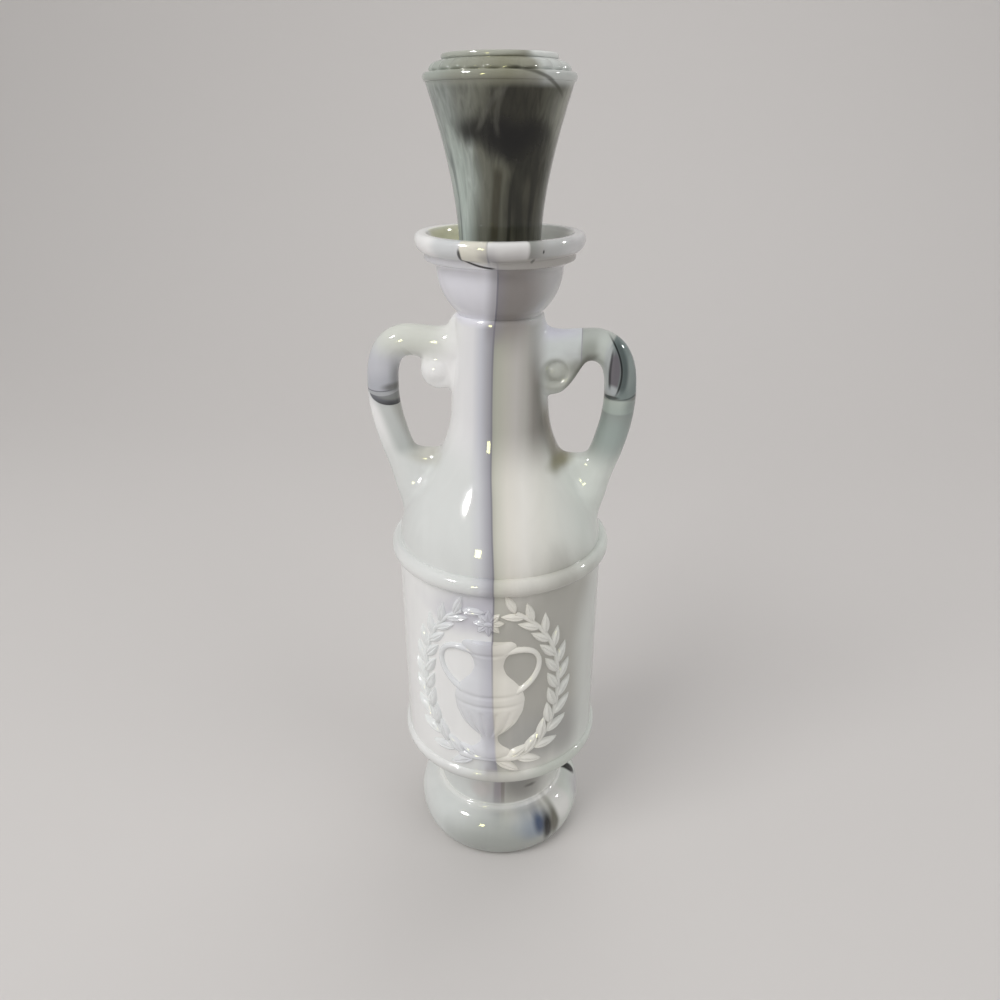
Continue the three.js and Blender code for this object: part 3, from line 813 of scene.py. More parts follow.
def sleevePlasticMaterial():
    look = plastic
    material, wires, shader = newMaterial("sleevePlastic")
    polar = wires.group(polarPlace)
    cloudy = wires.fade(marbled(wires, polar, look)["Cloud"], *look["cloudFade"])
    colour = wires.blend(cloudy, tone(*look["pale"]), tone(*look["yellowed"]))
    wires.put(shader.inputs["Base Color"], colour)
    polished(wires, shader, polar, look)
    return material


opalGlass = opalGlassMaterial("opalGlass", opal["acrossBody"], opal["acrossNeck"], opal["marks"])
reliefGlass = opalGlassMaterial("reliefGlass", opal["acrossRelief"], opal["acrossRelief"], [])
smokyGlass = smokyGlassMaterial()
sleevePlastic = sleevePlasticMaterial()
print("materials: opal glass, smoky glass, sleeve plastic")


# Bottle: foot, waist and drum as one turned shell, the cupped mouth as another

bottle = dict(
    segments=176,
    footHeight=23.3, lowerRingBase=52.4, panelBase=57.8, panelTop=145.8, shoulderBase=152.8,
    neckBase=206.0, neckTop=244.0, seatHeight=249.5, bowlTop=263.8, rimTop=272.8,
    restInner=27.5, restRadius=33.5, footRadius=38.0, footCrease=28.5, waistRadius=27.8, pushUp=5.5,
    panelRadius=42.4, lowerRingProud=1.5, upperRingProud=2.9, shoulderRadius=41.6,
    neckRadius=19.2, neckTopRadius=17.2, boreRadius=11.5, boreBase=226.2,
    cupRoot=15.9, seatRadius=15.4, bowlRadius=23.2, mouthRadius=26.5, rimRadius=31.0, rimStep=3.4,
    wall=3.5, floorHeight=10.5, cornerRound=0.7,
    ringSeat=40.0,  # the shoulder stands in the upper ring, inside this radius
    tongue=4.0, tongueRadius=15.0, tongueTop=14.6,  # the mouth reaches down into the neck
    # control points of the curves
    footLow=(37.1, 2.33), footLowRise=7.0, footHighRise=18.6, footHigh=(34.0, 22.3),
    floorFlat=16.8, floorEdge=(24.0, 6.8), floorCorner=5.0,
    shoulderFull=172.0, shoulderHollow=(21.0, 182.0), innerFull=177.3, innerHollow=174.1,
    cupLip=23.6, cupSlope=(19.2, 256.6),
)


def drumOutline():
    b = bottle
    footInner, waistInner = b["footRadius"] - b["wall"], b["waistRadius"] - b["wall"]
    panelInner = b["panelRadius"] - b["wall"]
    foot, ring, crease = b["footHeight"], b["lowerRingBase"], b["footCrease"]
    waist = ring - foot
    outside = [(0, b["pushUp"])]
    outside += bend(outside[-1], (b["restInner"] * 0.75, b["pushUp"]), (b["restInner"], 0))
    outside += [(b["restRadius"], 0)]
    outside += bend(
        outside[-1], b["footLow"], (b["footRadius"], b["footLowRise"]), (b["footRadius"], foot / 2), count=12
    )
    outside += bend(
        outside[-1], (b["footRadius"], b["footHighRise"]), b["footHigh"], (crease + 1.4, foot - 0.3), count=16
    )
    outside += bend(  # a small lip round the top of the foot
        outside[-1], (crease + 0.9, foot + 1.2), (crease - 0.3, foot + 0.9), count=6
    )
    outside += bend(
        outside[-1], (b["waistRadius"], foot + waist * 0.25), (b["waistRadius"], foot + waist * 0.75),
        (b["panelRadius"] - b["lowerRingProud"], ring), count=22,
    )
    outside += bead(b["panelRadius"], b["lowerRingProud"], ring, b["panelBase"] - ring)
    outside += [(b["panelRadius"], z) for z in np.linspace(b["panelBase"] + 1, b["panelTop"] - 1, 12)]
    top, shoulder = b["panelTop"], b["shoulderBase"]
    outside += bead(b["panelRadius"], b["upperRingProud"], top, shoulder - top, 28)
    outside += [(b["ringSeat"], shoulder), (b["ringSeat"], top), (panelInner, top)]
    inside = [(0, b["floorHeight"])]
    inside += bend(inside[-1], (b["floorFlat"], b["floorHeight"]), b["floorEdge"], count=6)
    inside += bend(inside[-1], (footInner, b["floorCorner"]), (footInner, foot / 2), count=8)
    inside += bend(
        inside[-1], (footInner, foot * 0.75), ((footInner + waistInner) / 2, foot * 0.85),
        (waistInner, foot + b["wall"] / 2), count=8,
    )
    inside += bend(
        inside[-1], (waistInner, foot + waist * 0.25), (waistInner, foot + waist * 0.75 + b["wall"]),
        (panelInner, ring + b["wall"]), count=10,
    )
    return softened(outside, b["cornerRound"]) + inside[::-1]


def mouthOutline():
    b = bottle
    neckTop, bowl, rim, bore = b["neckTop"], b["bowlTop"], b["rimTop"], b["boreRadius"]
    root, bowlRadius, rimRadius = b["cupRoot"], b["bowlRadius"], b["rimRadius"]
    bowlHeight, rimHeight, step = bowl - neckTop, rim - bowl, rimRadius - b["rimStep"]
    outline = [(bore + 1, neckTop - b["tongue"]), (b["tongueRadius"], neckTop - b["tongue"])]
    outline += [(b["tongueTop"], neckTop), (root, neckTop)]
    outline += bend(outline[-1], (root + 0.2, neckTop + 1.0), (root + 1.5, neckTop + 2.2), count=6)
    outline += bend(
        outline[-1], (root + 3.2, neckTop + 3.8), (bowlRadius - 0.3, neckTop + bowlHeight * 0.46),
        (bowlRadius, neckTop + bowlHeight * 0.78), count=18,
    )
    outline += bend(outline[-1], (bowlRadius, bowl - 1.0), (step, bowl), count=10)
    outline += [(step, bowl + rimHeight * 0.25)]
    outline += bend(
        outline[-1], (rimRadius + 0.6, bowl + rimHeight * 0.4), (rimRadius + 0.6, rim),
        (rimRadius - 2.0, rim), count=16,
    )
    outline += [(b["mouthRadius"], rim), (b["mouthRadius"] - 1, rim - 2)]
    outline += bend(
        outline[-1], (b["cupLip"], bowl), b["cupSlope"], (b["seatRadius"], b["seatHeight"]), count=14
    )
    outline += [(bore, b["seatHeight"]), (bore, neckTop), (bore + 1, neckTop)]
    outline += [outline[0]]
    return softened(outline, b["cornerRound"])


drumShell = turned("drumShell", drumOutline(), bottle["segments"], opalGlass)
mouthShell = turned("mouthShell", mouthOutline(), bottle["segments"], opalGlass)
print("turned shells:", len(drumShell.data.polygons), "and", len(mouthShell.data.polygons), "faces")


# Shoulder, neck and handles: their glass flows together, so it is remeshed as one form

handles = dict(
    radius=6.2, reach=46.3, armRoot=(13.0, 231.1), armEnd=(33.0, 232.8), bendEnd=(46.3, 216.0),
    root=(34.5, 170.0), rootEnd=(31.0, 156.0),
    # control points of the bar's curves, and how many points from the neck take the neck's flare
    bendCurve=[(41.65, 233.25), (46.3, 227.8)], limbCurve=[(47.23, 198.1), (38.6, 182.9)],
    rootCurve=[(32.8, 163.0)], armPoints=25,
    neckFlare=2.4, neckFlareLength=2.4, shoulderFlare=1.8, shoulderFlareLength=7.0,
    scrollHalf=5.7, scrollRound=2.2, wedgeHalf=4.4, topWebHalf=5.0,
    scrolls={  # right and left: reach, height, radius
        1: (20.6, 221.0, 7.4), -1: (23.3, 221.9, 7.5),
    },
    wedges={
        1: [(22.0, 228.0), (17.0, 218.0), (24.0, 215.5), (28.2, 218.5), (33.5, 227.5)],
        -1: [(28.0, 228.0), (17.0, 228.0), (15.0, 217.0), (19.0, 214.8), (24.0, 214.6)],
    },
    topWebs={
        1: [(13.0, 238.0), (16.8, 238.0), (17.6, 236.5), (13.0, 233.0)],
        -1: [(13.0, 243.2), (17.6, 243.2), (20.0, 239.2), (13.0, 233.0)],
    },
    eyes={  # reach, height, size, rise, ring
        1: (21.4, 223.0, 1.0, 1.0, 1.0), -1: (24.4, 221.9, 1.8, 1.15, 0.0),
    },
    eyeRadius=2.7, eyeRise=1.3, ringPlace=5.7, ringRise=0.6, ringWidth=1.1,
    groovePlace=3.9, grooveDepth=0.8, grooveWidth=0.85,
    crotchTop=187.8, crotchBase=168.0, crotchInner=15.0, webHalf=5.2,
    webStart=160.0, webInner=18.0, topWebReach=19.0, topWebRadius=6.0, topWebBase=232.0,
    turnedFrom=3.0, turnedFully=8.0, turnedMost=2.0,  # mm clear of the handles, mm that a point may move
    voxel=0.75, smoothing=12,
    flows=[((31, 177), (18, 20), 14.0), ((24, 229), (14, 17), 11.0)],  # where the glass flows together most
    flowSmoothing=55,
)


def handleLine():
    h = handles
    straight = np.linspace(0, 1, 13)[:, None]
    line = [tuple(p) for p in np.array(h["armRoot"]) * (1 - straight) + np.array(h["armEnd"]) * straight]
    line += bend(h["armEnd"], *h["bendCurve"], h["bendEnd"], count=20)
    line += bend(h["bendEnd"], *h["limbCurve"], h["root"], count=26)
    line += bend(h["root"], *h["rootCurve"], h["rootEnd"], count=5)
    return np.array(line)


def prism(corners, half):  # a flat shape in the XZ plane, made half thick to the front and to the back
    shape = bmesh.new()
    for x, z in corners:
        for y in (-half, half):
            shape.verts.new((x * mm, y * mm, z * mm))
    bmesh.ops.convex_hull(shape, input=shape.verts)
    mesh = bpy.data.meshes.new("prism")
    shape.to_mesh(mesh)
    shape.free()
    return mesh


def handleMeshes(side):  # 1 right, -1 left
    h = handles
    line = handleLine()
    fromNeck = np.maximum(0, line[:, 0] - bottle["neckTopRadius"])
    fromShoulder = np.maximum(0, line[:, 1] - h["root"][1] - 4)
    radii = h["radius"] + np.where(
        np.arange(len(line)) < h["armPoints"],
        h["neckFlare"] * np.exp(-fromNeck / h["neckFlareLength"]),
        h["shoulderFlare"] * np.exp(-fromShoulder / h["shoulderFlareLength"]),
    )
    x, z, radius = h["scrolls"][side]
    half, top, base, inner = h["scrollHalf"], h["crotchTop"], h["crotchBase"], h["crotchInner"]
    corners = [(0, -half), (radius, -half), (radius, half), (0, half)]
    disc = turned("scroll", softened(corners, h["scrollRound"]), 48, opalGlass)
    places = pointsOf(disc.data)
    places = np.stack([places[:, 0] + x * mm, -places[:, 2], places[:, 1] + z * mm], 1)
    disc.data.vertices.foreach_set("co", places.ravel())
    crotch = [(inner, base), (h["root"][0], base), (h["reach"] - 6.5, top), (inner, top)]
    meshes = [
        sweptBar(line, radii), disc.data.copy(),
        prism(crotch, h["webHalf"]),
        prism(h["wedges"][side], h["wedgeHalf"]),
        prism(h["topWebs"][side], h["topWebHalf"]),
    ]
    for mesh in meshes:
        pointOutwards(mesh)
    bpy.data.objects.remove(disc)
    return meshes if side > 0 else [turnedCopy(mesh, 180) for mesh in meshes]


def shoulderLine():  # from the ring over the panel up to the cup
    b = bottle
    shoulder, top, radius = b["shoulderBase"], b["neckTop"], b["neckTopRadius"]
    line = [(b["shoulderRadius"] - 0.9, b["panelTop"] + 1.5), (b["shoulderRadius"], shoulder - 0.8)]
    line += bend(
        (b["shoulderRadius"], shoulder), (b["shoulderRadius"], b["shoulderFull"]), b["shoulderHollow"],
        (b["neckRadius"], b["neckBase"]), count=60,
    )
    line += [(radius, top - 2.8)]
    line += bend((radius, top - 2.8), (radius, top - 0.3), (b["cupRoot"] + 0.2, top + 0.4), count=8)
    return line


def smoothed(form, iterations, group=""):
    smooth = form.modifiers.new("flow", "SMOOTH")
    smooth.factor = 0.5
    smooth.iterations = iterations
    smooth.vertex_group = group


def letFlow(form):  # more smoothing where the handles leave the shoulder and the neck
    places = pointsOf(form.data) / mm
    flow = np.zeros(len(places))
    for (x, z), (halfX, halfZ), halfY in handles["flows"]:
        off = np.sqrt(
            ((np.abs(places[:, 0]) - x) / halfX) ** 2
            + ((places[:, 2] - z) / halfZ) ** 2
            + (places[:, 1] / halfY) ** 2
        )
        flow = np.maximum(flow, eased(off, 1.15, 0.75))
    group = form.vertex_groups.new(name="flow")
    for index in np.nonzero(flow > 0.02)[0]:
        group.add([int(index)], float(flow[index]), "REPLACE")
    smoothed(form, handles["flowSmoothing"], group.name)
    plainMesh(form)
    form.vertex_groups.clear()


def trueUp(places, line):  # clear of the handles, the glass goes back onto the turned outline
    h = handles
    reach, depth, height = np.abs(places[:, 0]), np.abs(places[:, 1]), places[:, 2]
    bar = np.full(len(places), 1e9)
    for x, z in handleLine()[::2]:
        bar = np.minimum(bar, np.sqrt((reach - x) ** 2 + depth**2 + (height - z) ** 2))
    bar -= h["radius"]
    x, z, radius = h["scrolls"][1]
    scroll = np.maximum(np.hypot(reach - x, height - z) - radius, depth - h["scrollHalf"])
    topWeb = np.hypot(reach - h["topWebReach"], depth) - h["topWebRadius"]
    topWeb += np.maximum(0, h["topWebBase"] - height)
    web = np.maximum(np.maximum(depth - h["webHalf"], height - h["crotchTop"]), h["webInner"] - reach)
    web = np.where(height > h["webStart"], web, 99)
    clear = np.minimum(np.minimum(bar, np.minimum(scroll, topWeb)), web)
    exact = eased(clear, h["turnedFrom"], h["turnedFully"])
    exact *= (height > line[1][1]) * (height < bottle["neckTop"] + 0.2)
    radius = np.hypot(places[:, 0], places[:, 1])
    drawn = np.array(line)
    wanted = np.interp(height, drawn[:, 1], drawn[:, 0])
    exact *= np.abs(radius - wanted) < h["turnedMost"]
    places[:, :2] *= (1 + exact * (wanted / np.maximum(radius, 1e-6) - 1))[:, None]


def carveEyes(places):  # the boss in each scroll, and the ring round the right one
    h = handles
    for side, (x, z, size, rise, rings) in h["eyes"].items():
        away = np.hypot(places[:, 0] * side - x, places[:, 2] - z) / size
        eye = rise * h["eyeRise"] * np.clip(1 - (away / h["eyeRadius"]) ** 2, 0, 1) ** (1.2 - 0.7 * rings)
        ring = h["ringRise"] * hump(away, h["ringPlace"], h["ringWidth"])
        groove = h["grooveDepth"] * hump(away, h["groovePlace"], h["grooveWidth"])
        onFace = eased(np.abs(places[:, 1]), 2.0, 4.0) * eased(away, 9.0, 7.0)
        places[:, 1] += np.sign(places[:, 1]) * onFace * (eye + rings * (ring - groove))


def shoulderForm():
    line = shoulderLine()
    solid = turned("shoulderNeck", [(0, line[0][1]), *line, (0, line[-1][1])], 160, opalGlass)
    everything = [solid.data] + handleMeshes(1) + handleMeshes(-1)
    form = newPiece("shoulderForm", joined("shoulderForm", everything, opalGlass))
    remesh = form.modifiers.new("oneGlass", "REMESH")
    remesh.mode = "VOXEL"
    remesh.voxel_size = handles["voxel"] * mm
    smoothed(form, handles["smoothing"])
    plainMesh(form)
    bpy.data.objects.remove(solid)
    letFlow(form)
    places = pointsOf(form.data) / mm
    trueUp(places, line)
    carveEyes(places)
    form.data.vertices.foreach_set("co", (places * mm).ravel())
    form.data.update()
    return form


def hollowOut(form, past=4):  # the bore and the space under the shoulder, cut past both ends
    b = bottle
    inner, neckInner, bore = b["panelRadius"] - b["wall"], b["neckRadius"] - b["wall"], b["boreRadius"]
    base, top = b["panelTop"] - past, b["neckTop"] + past
    outline = [(0, base), (inner, base), (inner, b["shoulderBase"])]
    outline += bend(
        outline[-1], (inner, b["innerFull"]), (neckInner, b["innerHollow"]),
        (neckInner, b["neckBase"]), count=20,
    )
    outline += [(bore, b["boreBase"]), (bore, top), (0, top)]
    space = turned("space", outline, 96, opalGlass)
    cut = form.modifiers.new("hollow", "BOOLEAN")
    cut.operation = "DIFFERENCE"
    cut.solver = "MANIFOLD"
    cut.object = space
    plainMesh(form)
    bpy.data.objects.remove(space)


shoulder = shoulderForm()
print("shoulder and handles:", len(shoulder.data.polygons), "faces")
hollowOut(shoulder)
print("hollowed:", len(shoulder.data.polygons), "faces")

bottleGlass = {}
for name, stage in (("bottle_drum", drumShell), ("bottle_shoulder", shoulder), ("bottle_mouth", mouthShell)):
    bottleGlass[name] = newPiece(name, joined(name, [stage.data], opalGlass))
    shadeSmooth(bottleGlass[name].data, 50)
    bpy.data.objects.remove(stage)


# Relief on the front of the panel: an urn between two sprays of laurel, drawn flat and wrapped round the drum

relief = dict(
    sink=0.5,  # mm of each shape under the panel's face
    stem=[  # two curves that meet at the fourth point
        (2.0, 65.5), (17.0, 63.5), (30.0, 77.0), (29.5, 101.0), (29.2, 118.0), (23.0, 131.0), (10.5, 138.0),
    ],
    stemRadius=1.0, leaves=23, spread=31.0, leafSize=1.0, tipSize=0.75,
    leafLength=12.5, leafWidth=5.4, leafRise=2.0, midribDepth=0.35, midribWidth=0.17,
    urn=[  # height, half width
        (68.0, 9.4), (70.5, 9.4), (71.8, 6.4), (74.5, 3.9), (77.5, 3.6), (80.0, 7.0), (84.0, 11.4),
        (90.0, 14.4), (96.0, 15.2), (101.0, 14.2), (105.5, 10.8), (109.0, 7.4), (113.0, 6.0), (117.0, 7.0),
        (120.0, 10.0), (121.5, 11.4), (123.4, 11.6), (124.4, 11.0), (124.9, 9.4),
    ],
    urnRise=3.4, flutes=8, fluteTop=92.0, fluteBase=78.0, fluteDepth=0.9,
    bands=(94.5, 99.5), bandDepth=0.6, lipLine=119.3, lipDepth=0.5, lineWidth=0.7,
    urnHandle=[(6.0, 119.8), (24.5, 125.5), (25.0, 106.0), (9.0, 99.5)], urnHandleRadius=1.5,
    plinth=(14.5, 66.4, 1.9),  # half length, height, radius
    rosette=(0.0, 133.5), petals=8, petalLength=6.2, petalWidth=3.9, petalRise=1.5,
    bossRadius=1.8, bossRise=1.7,
)


def lowRelief(rows, count, detail=None):  # rows of (along, half width, rise); a closed shape with soft edges
    sink = relief["sink"]
    across = np.linspace(-1, 1, count + 1)
    verts, faces, width = [], [], len(across)
    for along, half, rise in rows:
        crown = (rise + sink) * (1 - across**2) ** 0.75 - sink
        if detail:
            crown += detail(along, across, rise)
        verts += [(along, -height, half * s) for s, height in zip(across, crown)]
    top = len(verts)
    verts += [(along, sink + 0.3, half * s) for along, half, rise in rows for s in across]
    for i in range(len(rows) - 1):
        for j in range(width - 1):
            a = i * width + j
            faces.append((a, a + 1, a + width + 1, a + width))
            faces.append((top + a, top + a + width, top + a + width + 1, top + a + 1))
    last = (len(rows) - 1) * width
    for j in range(width - 1):
        faces.append((j, top + j, top + j + 1, j + 1))
        faces.append((last + j, last + j + 1, top + last + j + 1, top + last + j))
    for i in range(len(rows) - 1):
        a, b = i * width, i * width + width - 1
        faces.append((a, a + width, top + a + width, top + a))
        faces.append((b, top + b, top + b + width, b + width))
    mesh = bpy.data.meshes.new("lowRelief")
    mesh.from_pydata([tuple(c * mm for c in v) for v in verts], [], faces)
    pointOutwards(mesh)
    return mesh


def leafMesh(length, width, rise):
    rows = []
    for t in np.linspace(0.01, 0.99, 12):
        swell = math.sin(math.pi * t**0.8)
        rows.append((t * length, max(0.12, width / 2 * swell**0.85), rise * swell**0.5))

    def midrib(along, across, high):
        return -relief["midribDepth"] * high * hump(across, 0, relief["midribWidth"])

    return lowRelief(rows, 8, midrib)


def placedFlat(mesh, x, z, turn):  # moved and turned in the plane of the drawing
    a = math.radians(turn)
    places = pointsOf(mesh)
    moved = np.stack(
        [
            places[:, 0] * math.cos(a) - places[:, 2] * math.sin(a) + x * mm,
            places[:, 1],
            places[:, 0] * math.sin(a) + places[:, 2] * math.cos(a) + z * mm,
        ], 1,
    )
    copy = mesh.copy()
    copy.vertices.foreach_set("co", moved.ravel())
    return copy


def laurelSprayTree():  # leaves along a stem, by turns on its two sides
    tree, wires, given, result = newTree(
        "laurelSpray",
        "GeometryNodeTree",
        [("Stem", "Geometry"), ("Leaf", "Object"), ("Leaves", "Int"), ("Finish", "Material")]
        + floats("Spread", "Leaf size", "Tip size", "Stem radius"),
        [("Spray", "Geometry")],
    )
    points = wires.add("GeometryNodeResampleCurve", {"Curve": given["Stem"], "Count": given["Leaves"]})
    place = wires.add("GeometryNodeSplineParameter").outputs
    side = wires.minus(wires.times(wires.math("MODULO", place["Index"], 2.0), 2.0), 1.0)  # -1 or 1
    ahead = wires.add("ShaderNodeSeparateXYZ", {0: wires.add("GeometryNodeInputTangent").outputs[0]}).outputs
    heading = wires.math("ARCTAN2", ahead["Z"], ahead["X"])
    spread = wires.times(wires.math("RADIANS", given["Spread"]), side)
    turn = wires.times(wires.plus(heading, spread), -1.0)
    rotation = wires.add(
        "FunctionNodeEulerToRotation", {0: wires.add("ShaderNodeCombineXYZ", {"Y": turn}).outputs[0]}
    )
    size = wires.add(
        "ShaderNodeMapRange",
        {"Value": place["Factor"], "To Min": given["Leaf size"], "To Max": given["Tip size"]},
    )
    leaf = wires.add("GeometryNodeObjectInfo", {"Object": given["Leaf"], "As Instance": True})
    leaves = wires.add(
        "GeometryNodeInstanceOnPoints",
        {
            "Points": points.outputs[0], "Instance": leaf.outputs["Geometry"],
            "Rotation": rotation.outputs[0], "Scale": size.outputs["Result"],
        },
    )
    ring = wires.add("GeometryNodeCurvePrimitiveCircle", {"Resolution": 10, "Radius": given["Stem radius"]})
    bar = wires.add(
        "GeometryNodeCurveToMesh",
        {"Curve": given["Stem"], "Profile Curve": ring.outputs["Curve"], "Fill Caps": True},
    )
    both = wires.add("GeometryNodeJoinGeometry")
    for form in (leaves, bar):
        wires.put(both.inputs[0], form.outputs[0])
    finishForm(wires, both.outputs[0], given["Finish"], result["Spray"])
    return tree


def laurelSprays():
    r = relief
    leaf = newPiece("leaf", leafMesh(r["leafLength"], r["leafWidth"], r["leafRise"]))
    stems = bpy.data.curves.new("stems", "CURVE")
    stems.dimensions = "3D"
    line = [r["stem"][0]] + bend(*r["stem"][:4], count=24) + bend(*r["stem"][3:], count=20)
    for side in (1, -1):
        spline = stems.splines.new("POLY")
        spline.points.add(len(line) - 1)
        for point, (x, z) in zip(spline.points, line):
            point.co = (side * x * mm, 0, z * mm, 1)
    carrier = newPiece("stems", stems)
    addNodes(
        carrier, laurelSprayTree(),
        {
            "Leaf": leaf, "Leaves": r["leaves"], "Spread": r["spread"], "Leaf size": r["leafSize"],
            "Tip size": r["tipSize"], "Stem radius": r["stemRadius"] * mm, "Finish": reliefGlass,
        },
    )
    sprays = evaluatedMesh(carrier)
    bpy.data.objects.remove(carrier)
    bpy.data.objects.remove(leaf)
    return sprays


def urnBody():
    r = relief
    drawn = np.array(r["urn"])
    heights = np.linspace(drawn[0, 0], drawn[-1, 0], 90)
    halves = np.interp(heights, drawn[:, 0], drawn[:, 1])
    for _ in range(3):  # rounds off the drawn corners
        halves[1:-1] = (halves[:-2] + 2 * halves[1:-1] + halves[2:]) / 4
    widest = drawn[:, 1].max()
    rows = [(z, half, r["urnRise"] * (0.35 + 0.65 * half / widest)) for z, half in zip(heights, halves)]

    def flutes(along, across, high):
        base, top = r["fluteBase"], r["fluteTop"]
        inside = eased(along, base, base + 3) * eased(along, top, top - 1.5)
        wave = np.abs(np.cos(r["flutes"] * np.arcsin(np.clip(across, -0.999, 0.999))))
        band = sum(hump(along, z, r["lineWidth"]) for z in r["bands"])
        lip = hump(along, r["lipLine"], r["lineWidth"])
        carved = r["fluteDepth"] * inside * (wave - 0.7) - r["bandDepth"] * band - r["lipDepth"] * lip
        return carved * (1 - across**2)

    body = lowRelief(rows, 64, flutes)
    places = pointsOf(body)
    body.vertices.foreach_set("co", np.stack([-places[:, 2], places[:, 1], places[:, 0]], 1).ravel())
    return body


def urnMeshes():
    r = relief
    meshes = [urnBody()]
    line = [r["urnHandle"][0]] + bend(*r["urnHandle"], count=18)
    shares = np.linspace(0, 1, len(line))
    taper = [r["urnHandleRadius"] * (1 - 0.25 * math.sin(math.pi * t)) for t in shares]
    for side in (1, -1):
        meshes.append(sweptBar([(side * x, z) for x, z in line], taper, 16))
    half, z, radius = r["plinth"]
    shares = np.linspace(-1, 1, 15)
    rounded = [radius * (1 - abs(t) ** 6) ** 0.5 + 0.05 for t in shares]
    meshes.append(sweptBar([(half * t, z) for t in shares], rounded, 16))
    petal = leafMesh(r["petalLength"], r["petalWidth"], r["petalRise"])
    x, z = r["rosette"]
    meshes += [placedFlat(petal, x, z, 360 / r["petals"] * k) for k in range(r["petals"])]
    size = r["bossRadius"]
    shares = np.linspace(-0.99, 0.99, 12)
    boss = lowRelief([(t * size, max(0.1, size * math.sqrt(1 - t * t)), r["bossRise"]) for t in shares], 10)
    meshes.append(placedFlat(boss, x, z, 0))
    return meshes


def panelRelief():
    meshes = [laurelSprays()] + urnMeshes()
    piece = newPiece("panel_relief", joined("panel_relief", meshes, reliefGlass))
    flat = pointsOf(piece.data)
    radius = bottle["panelRadius"] * mm
    turn, out = flat[:, 0] / radius, radius - flat[:, 1]
    wrapped = np.stack([out * np.sin(turn), -out * np.cos(turn), flat[:, 2]], 1)
    piece.data.vertices.foreach_set("co", wrapped.ravel())
    pointOutwards(piece.data)
    shadeSmooth(piece.data, 60)
    return piece


frontRelief = panelRelief()
print("relief:", len(frontRelief.data.polygons), "faces")


# Stopper: a hollow turned head on a ribbed sleeve

stopper = dict(
    segments=288, base=251.6, shankTop=270.0, trumpetTop=318.6, beadTop=322.8, tierTop=326.0, capTop=328.4,
    shankRadius=14.5, shankFlare=0.3, trumpetRadius=25.0, beadProud=0.8, beadBase=320.1,
    tierRadius=23.1, capRadius=19.0, capProud=0.5, lobes=24, lobeRise=0.85,
    wall=3.8, pegRadius=8.3, pegHollow=4.9, pegBase=231.3, cornerRound=0.8,
)
sleeve = dict(
    segments=96, inner=8.6, radius=10.4, flange=13.9, top=251.3, flangeBase=249.8, base=229.8,
    ridges=4, ridgeHeight=0.8, ridgeThickness=1.6, cornerRound=0.35,
)


def stopperOutline():
    s = stopper
    wall, base, shankTop, trumpet = s["wall"], s["base"], s["shankTop"], s["trumpetRadius"]
    rise, shank, inner = s["trumpetTop"] - shankTop, s["shankRadius"], s["shankRadius"] - wall
    tier, cap, beadTop, tierTop = s["tierRadius"], s["capRadius"], s["beadTop"], s["tierTop"]
    outline = [(0, s["trumpetTop"] - wall)]
    outline += bend(
        outline[-1], (trumpet - wall, s["trumpetTop"] - wall),
        (trumpet - 2 * wall, shankTop + rise * 0.75), count=8,
    )
    outline += bend(outline[-1], (inner, shankTop + rise * 0.3), (inner, shankTop), count=8)
    outline += bend(outline[-1], (inner, base + wall), (s["pegHollow"], base), count=6)
    outline += [(s["pegHollow"], s["pegBase"]), (s["pegRadius"], s["pegBase"]), (s["pegRadius"], base)]
    outline += [(shank, base), (shank + s["shankFlare"], base + 6), (shank + s["shankFlare"], shankTop)]
    outline += bend(
        outline[-1], (shank + 0.9, shankTop + rise * 0.34), (trumpet - wall - 1.6, shankTop + rise * 0.68),
        (trumpet, s["beadBase"]), count=28,
    )
    outline += bead(trumpet, s["beadProud"], s["beadBase"], beadTop - s["beadBase"])
    outline += [(tier + 0.3, beadTop), (tier, beadTop + 0.2)]
    outline += bend(outline[-1], (tier - 0.4, beadTop + 2.6), (cap + 0.7, tierTop + 0.5), count=12)
    outline += bead(cap, s["capProud"], tierTop + 0.5, s["capTop"] - tierTop - 0.6)
    outline += [(cap - 1.0, s["capTop"]), (0, s["capTop"])]
    return softened(outline, s["cornerRound"])


def sleeveOutline():
    s = sleeve
    pitch = (s["flangeBase"] - s["base"]) / (s["ridges"] + 1)
    outline = [(s["inner"], s["top"]), (s["inner"], s["base"]), (s["radius"], s["base"])]
    for ridge in range(1, s["ridges"] + 1):
        middle = s["base"] + pitch * ridge
        outline += [
            (s["radius"], middle - s["ridgeThickness"] / 2),
            (s["radius"] + s["ridgeHeight"], middle),
            (s["radius"], middle + s["ridgeThickness"] / 2),
        ]
    outline += [(s["radius"], s["flangeBase"]), (s["flange"], s["flangeBase"]), (s["flange"], s["top"])]
    outline += [outline[0]]
    return softened(outline, s["cornerRound"])


def scalloped(head):  # soft lobes round the slope between bead and cap
    s = stopper
    places = pointsOf(head.data) / mm
    radius, angle = np.hypot(places[:, 0], places[:, 1]), np.arctan2(places[:, 0], -places[:, 1])
    height, base, top = places[:, 2], s["beadTop"], s["tierTop"]
    here = eased(height, base, base + 0.9) * eased(height, top + 0.6, top - 0.6)
    rise = here * s["lobeRise"] * np.abs(np.cos(angle * s["lobes"] / 2)) * (radius > s["capRadius"] - 1)
    places[:, :2] *= (1 + rise / np.maximum(radius, 1e-6))[:, None]
    head.data.vertices.foreach_set("co", (places * mm).ravel())
    head.data.update()


stopperHead = turned("stopper_head_glass", stopperOutline(), stopper["segments"], smokyGlass)
scalloped(stopperHead)
stopperSleeve = turned("stopper_sleeve_ribbed", sleeveOutline(), sleeve["segments"], sleevePlastic)
for piece in (stopperHead, stopperSleeve):
    shadeSmooth(piece.data, 50)
print("stopper:", len(stopperHead.data.polygons), "faces, sleeve:", len(stopperSleeve.data.polygons))


# Frame

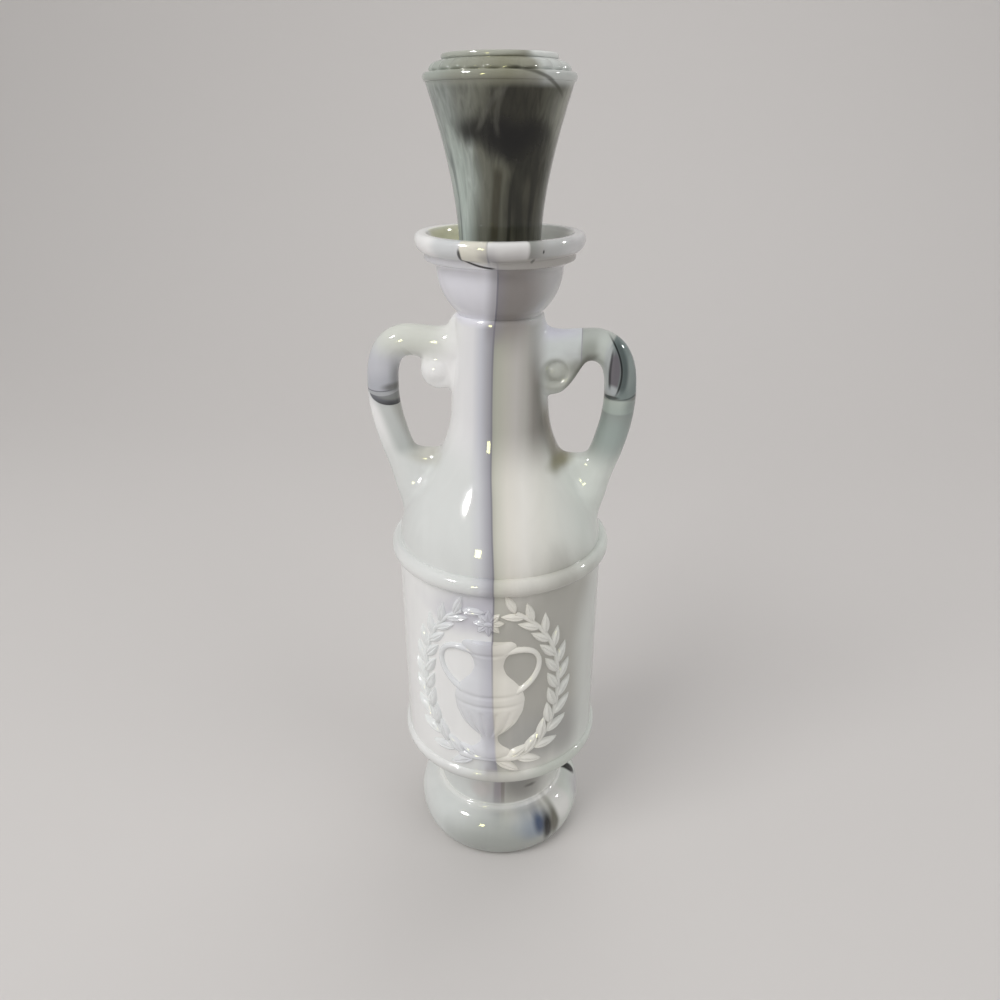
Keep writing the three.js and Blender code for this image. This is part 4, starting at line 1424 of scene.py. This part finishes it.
for piece in bottleGlass.values():
    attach(piece, "bottle")
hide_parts("foot", "waist", "drum")
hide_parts("shoulder", "neck", "handle_right", "handle_left")
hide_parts("mouth")
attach(frontRelief, "bottle")
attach(stopperHead, "stopper")
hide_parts("stopper_head")
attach(stopperSleeve, "sleeve")
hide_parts("stopper_sleeve")


# Studio: floor and backdrop in one sweep, soft lights, and the camera

studio = dict(
    floorTone=(0.77, 0.76, 0.755), width=5.0, front=-2.5, back=1.15, height=2.5, sweep=0.7,
    floorRoughness=0.9, floorSpecular=0.1, worldTone=(1.0, 0.99, 0.98), worldStrength=0.46,
    aimHeight=0.16,  # the lamps point at this height on the bottle's axis
    lamps=[  # name, azimuth from the front, elevation, distance, width, height, watts, tone, how it is seen
        ("key", -42, 46, 1.5, 0.8, 0.8, 10.0, (1.0, 0.99, 0.97), "diffuse"),
        ("fill", 62, 32, 1.8, 1.2, 1.2, 6.0, (1.0, 0.99, 0.98), "diffuse"),
        ("top", 160, 62, 1.2, 0.8, 0.8, 3.0, (1.0, 1.0, 1.0), "diffuse"),
        ("windowGlint", -50, 38, 1.4, 0.22, 0.13, 24.0, (1.0, 1.0, 1.0), "glossy"),
        ("lampGlint", -18, 10, 1.2, 0.13, 0.22, 2.4, (1.0, 0.99, 0.42), "glossy"),
        ("rightGlint", 106, 31, 1.4, 0.09, 0.08, 5.0, (1.0, 1.0, 1.0), "glossy"),
    ],
)
camera = dict(distance=0.300, height=0.3093, azimuth=6.0, pitch=25.52, lens=28.8, sensor=36.0)


def makeStudio():
    s = studio
    line = [(s["front"], 0), (s["back"] - s["sweep"], 0)]
    line += bend(line[-1], (s["back"], 0), (s["back"], s["sweep"]), count=20)
    line += [(s["back"], s["height"])]
    verts = [(x * s["width"] / 2, y, z) for y, z in line for x in (-1, 1)]
    faces = [(2 * i, 2 * i + 1, 2 * i + 3, 2 * i + 2) for i in range(len(line) - 1)]
    mesh = bpy.data.meshes.new("floorSweep")
    mesh.from_pydata(verts, [], faces)
    mesh.shade_smooth()
    floor = newPiece("floorSweep", mesh)
    material, wires, shader = newMaterial("paperSweep")
    shader.inputs["Base Color"].default_value = tone(*s["floorTone"])
    shader.inputs["Roughness"].default_value = s["floorRoughness"]
    shader.inputs["Specular IOR Level"].default_value = s["floorSpecular"]
    mesh.materials.append(material)

    world = bpy.data.worlds.new("studio")
    world.use_nodes = True
    background = world.node_tree.nodes["Background"]
    background.inputs["Color"].default_value = s["worldTone"] + (1.0,)
    background.inputs["Strength"].default_value = s["worldStrength"]
    scene.world = world

    for name, azimuth, elevation, distance, width, height, watts, lampTone, seen in s["lamps"]:
        lamp = bpy.data.lights.new(name, "AREA")
        lamp.shape = "RECTANGLE"
        lamp.size, lamp.size_y = width, height
        lamp.energy = watts
        lamp.color = lampTone
        a, e = math.radians(azimuth), math.radians(elevation)
        holder = newPiece(name, lamp)
        holder.location = (
            distance * math.cos(e) * math.sin(a),
            -distance * math.cos(e) * math.cos(a),
            s["aimHeight"] + distance * math.sin(e),
        )
        holder.rotation_euler = (math.pi / 2 - e, 0, a)
        holder.visible_glossy = seen == "glossy"
        holder.visible_diffuse = seen == "diffuse"


def makeCamera():
    c = camera
    lens = bpy.data.cameras.new("photoCamera")
    lens.lens = c["lens"]
    lens.sensor_width = c["sensor"]
    lens.clip_start = 0.01
    holder = newPiece("photoCamera", lens)
    a = math.radians(c["azimuth"])
    holder.location = (c["distance"] * math.sin(a), -c["distance"] * math.cos(a), c["height"])
    holder.rotation_euler = (math.radians(90 - c["pitch"]), 0, a)
    scene.camera = holder


makeStudio()
makeCamera()
scene.view_settings.view_transform = "Standard"
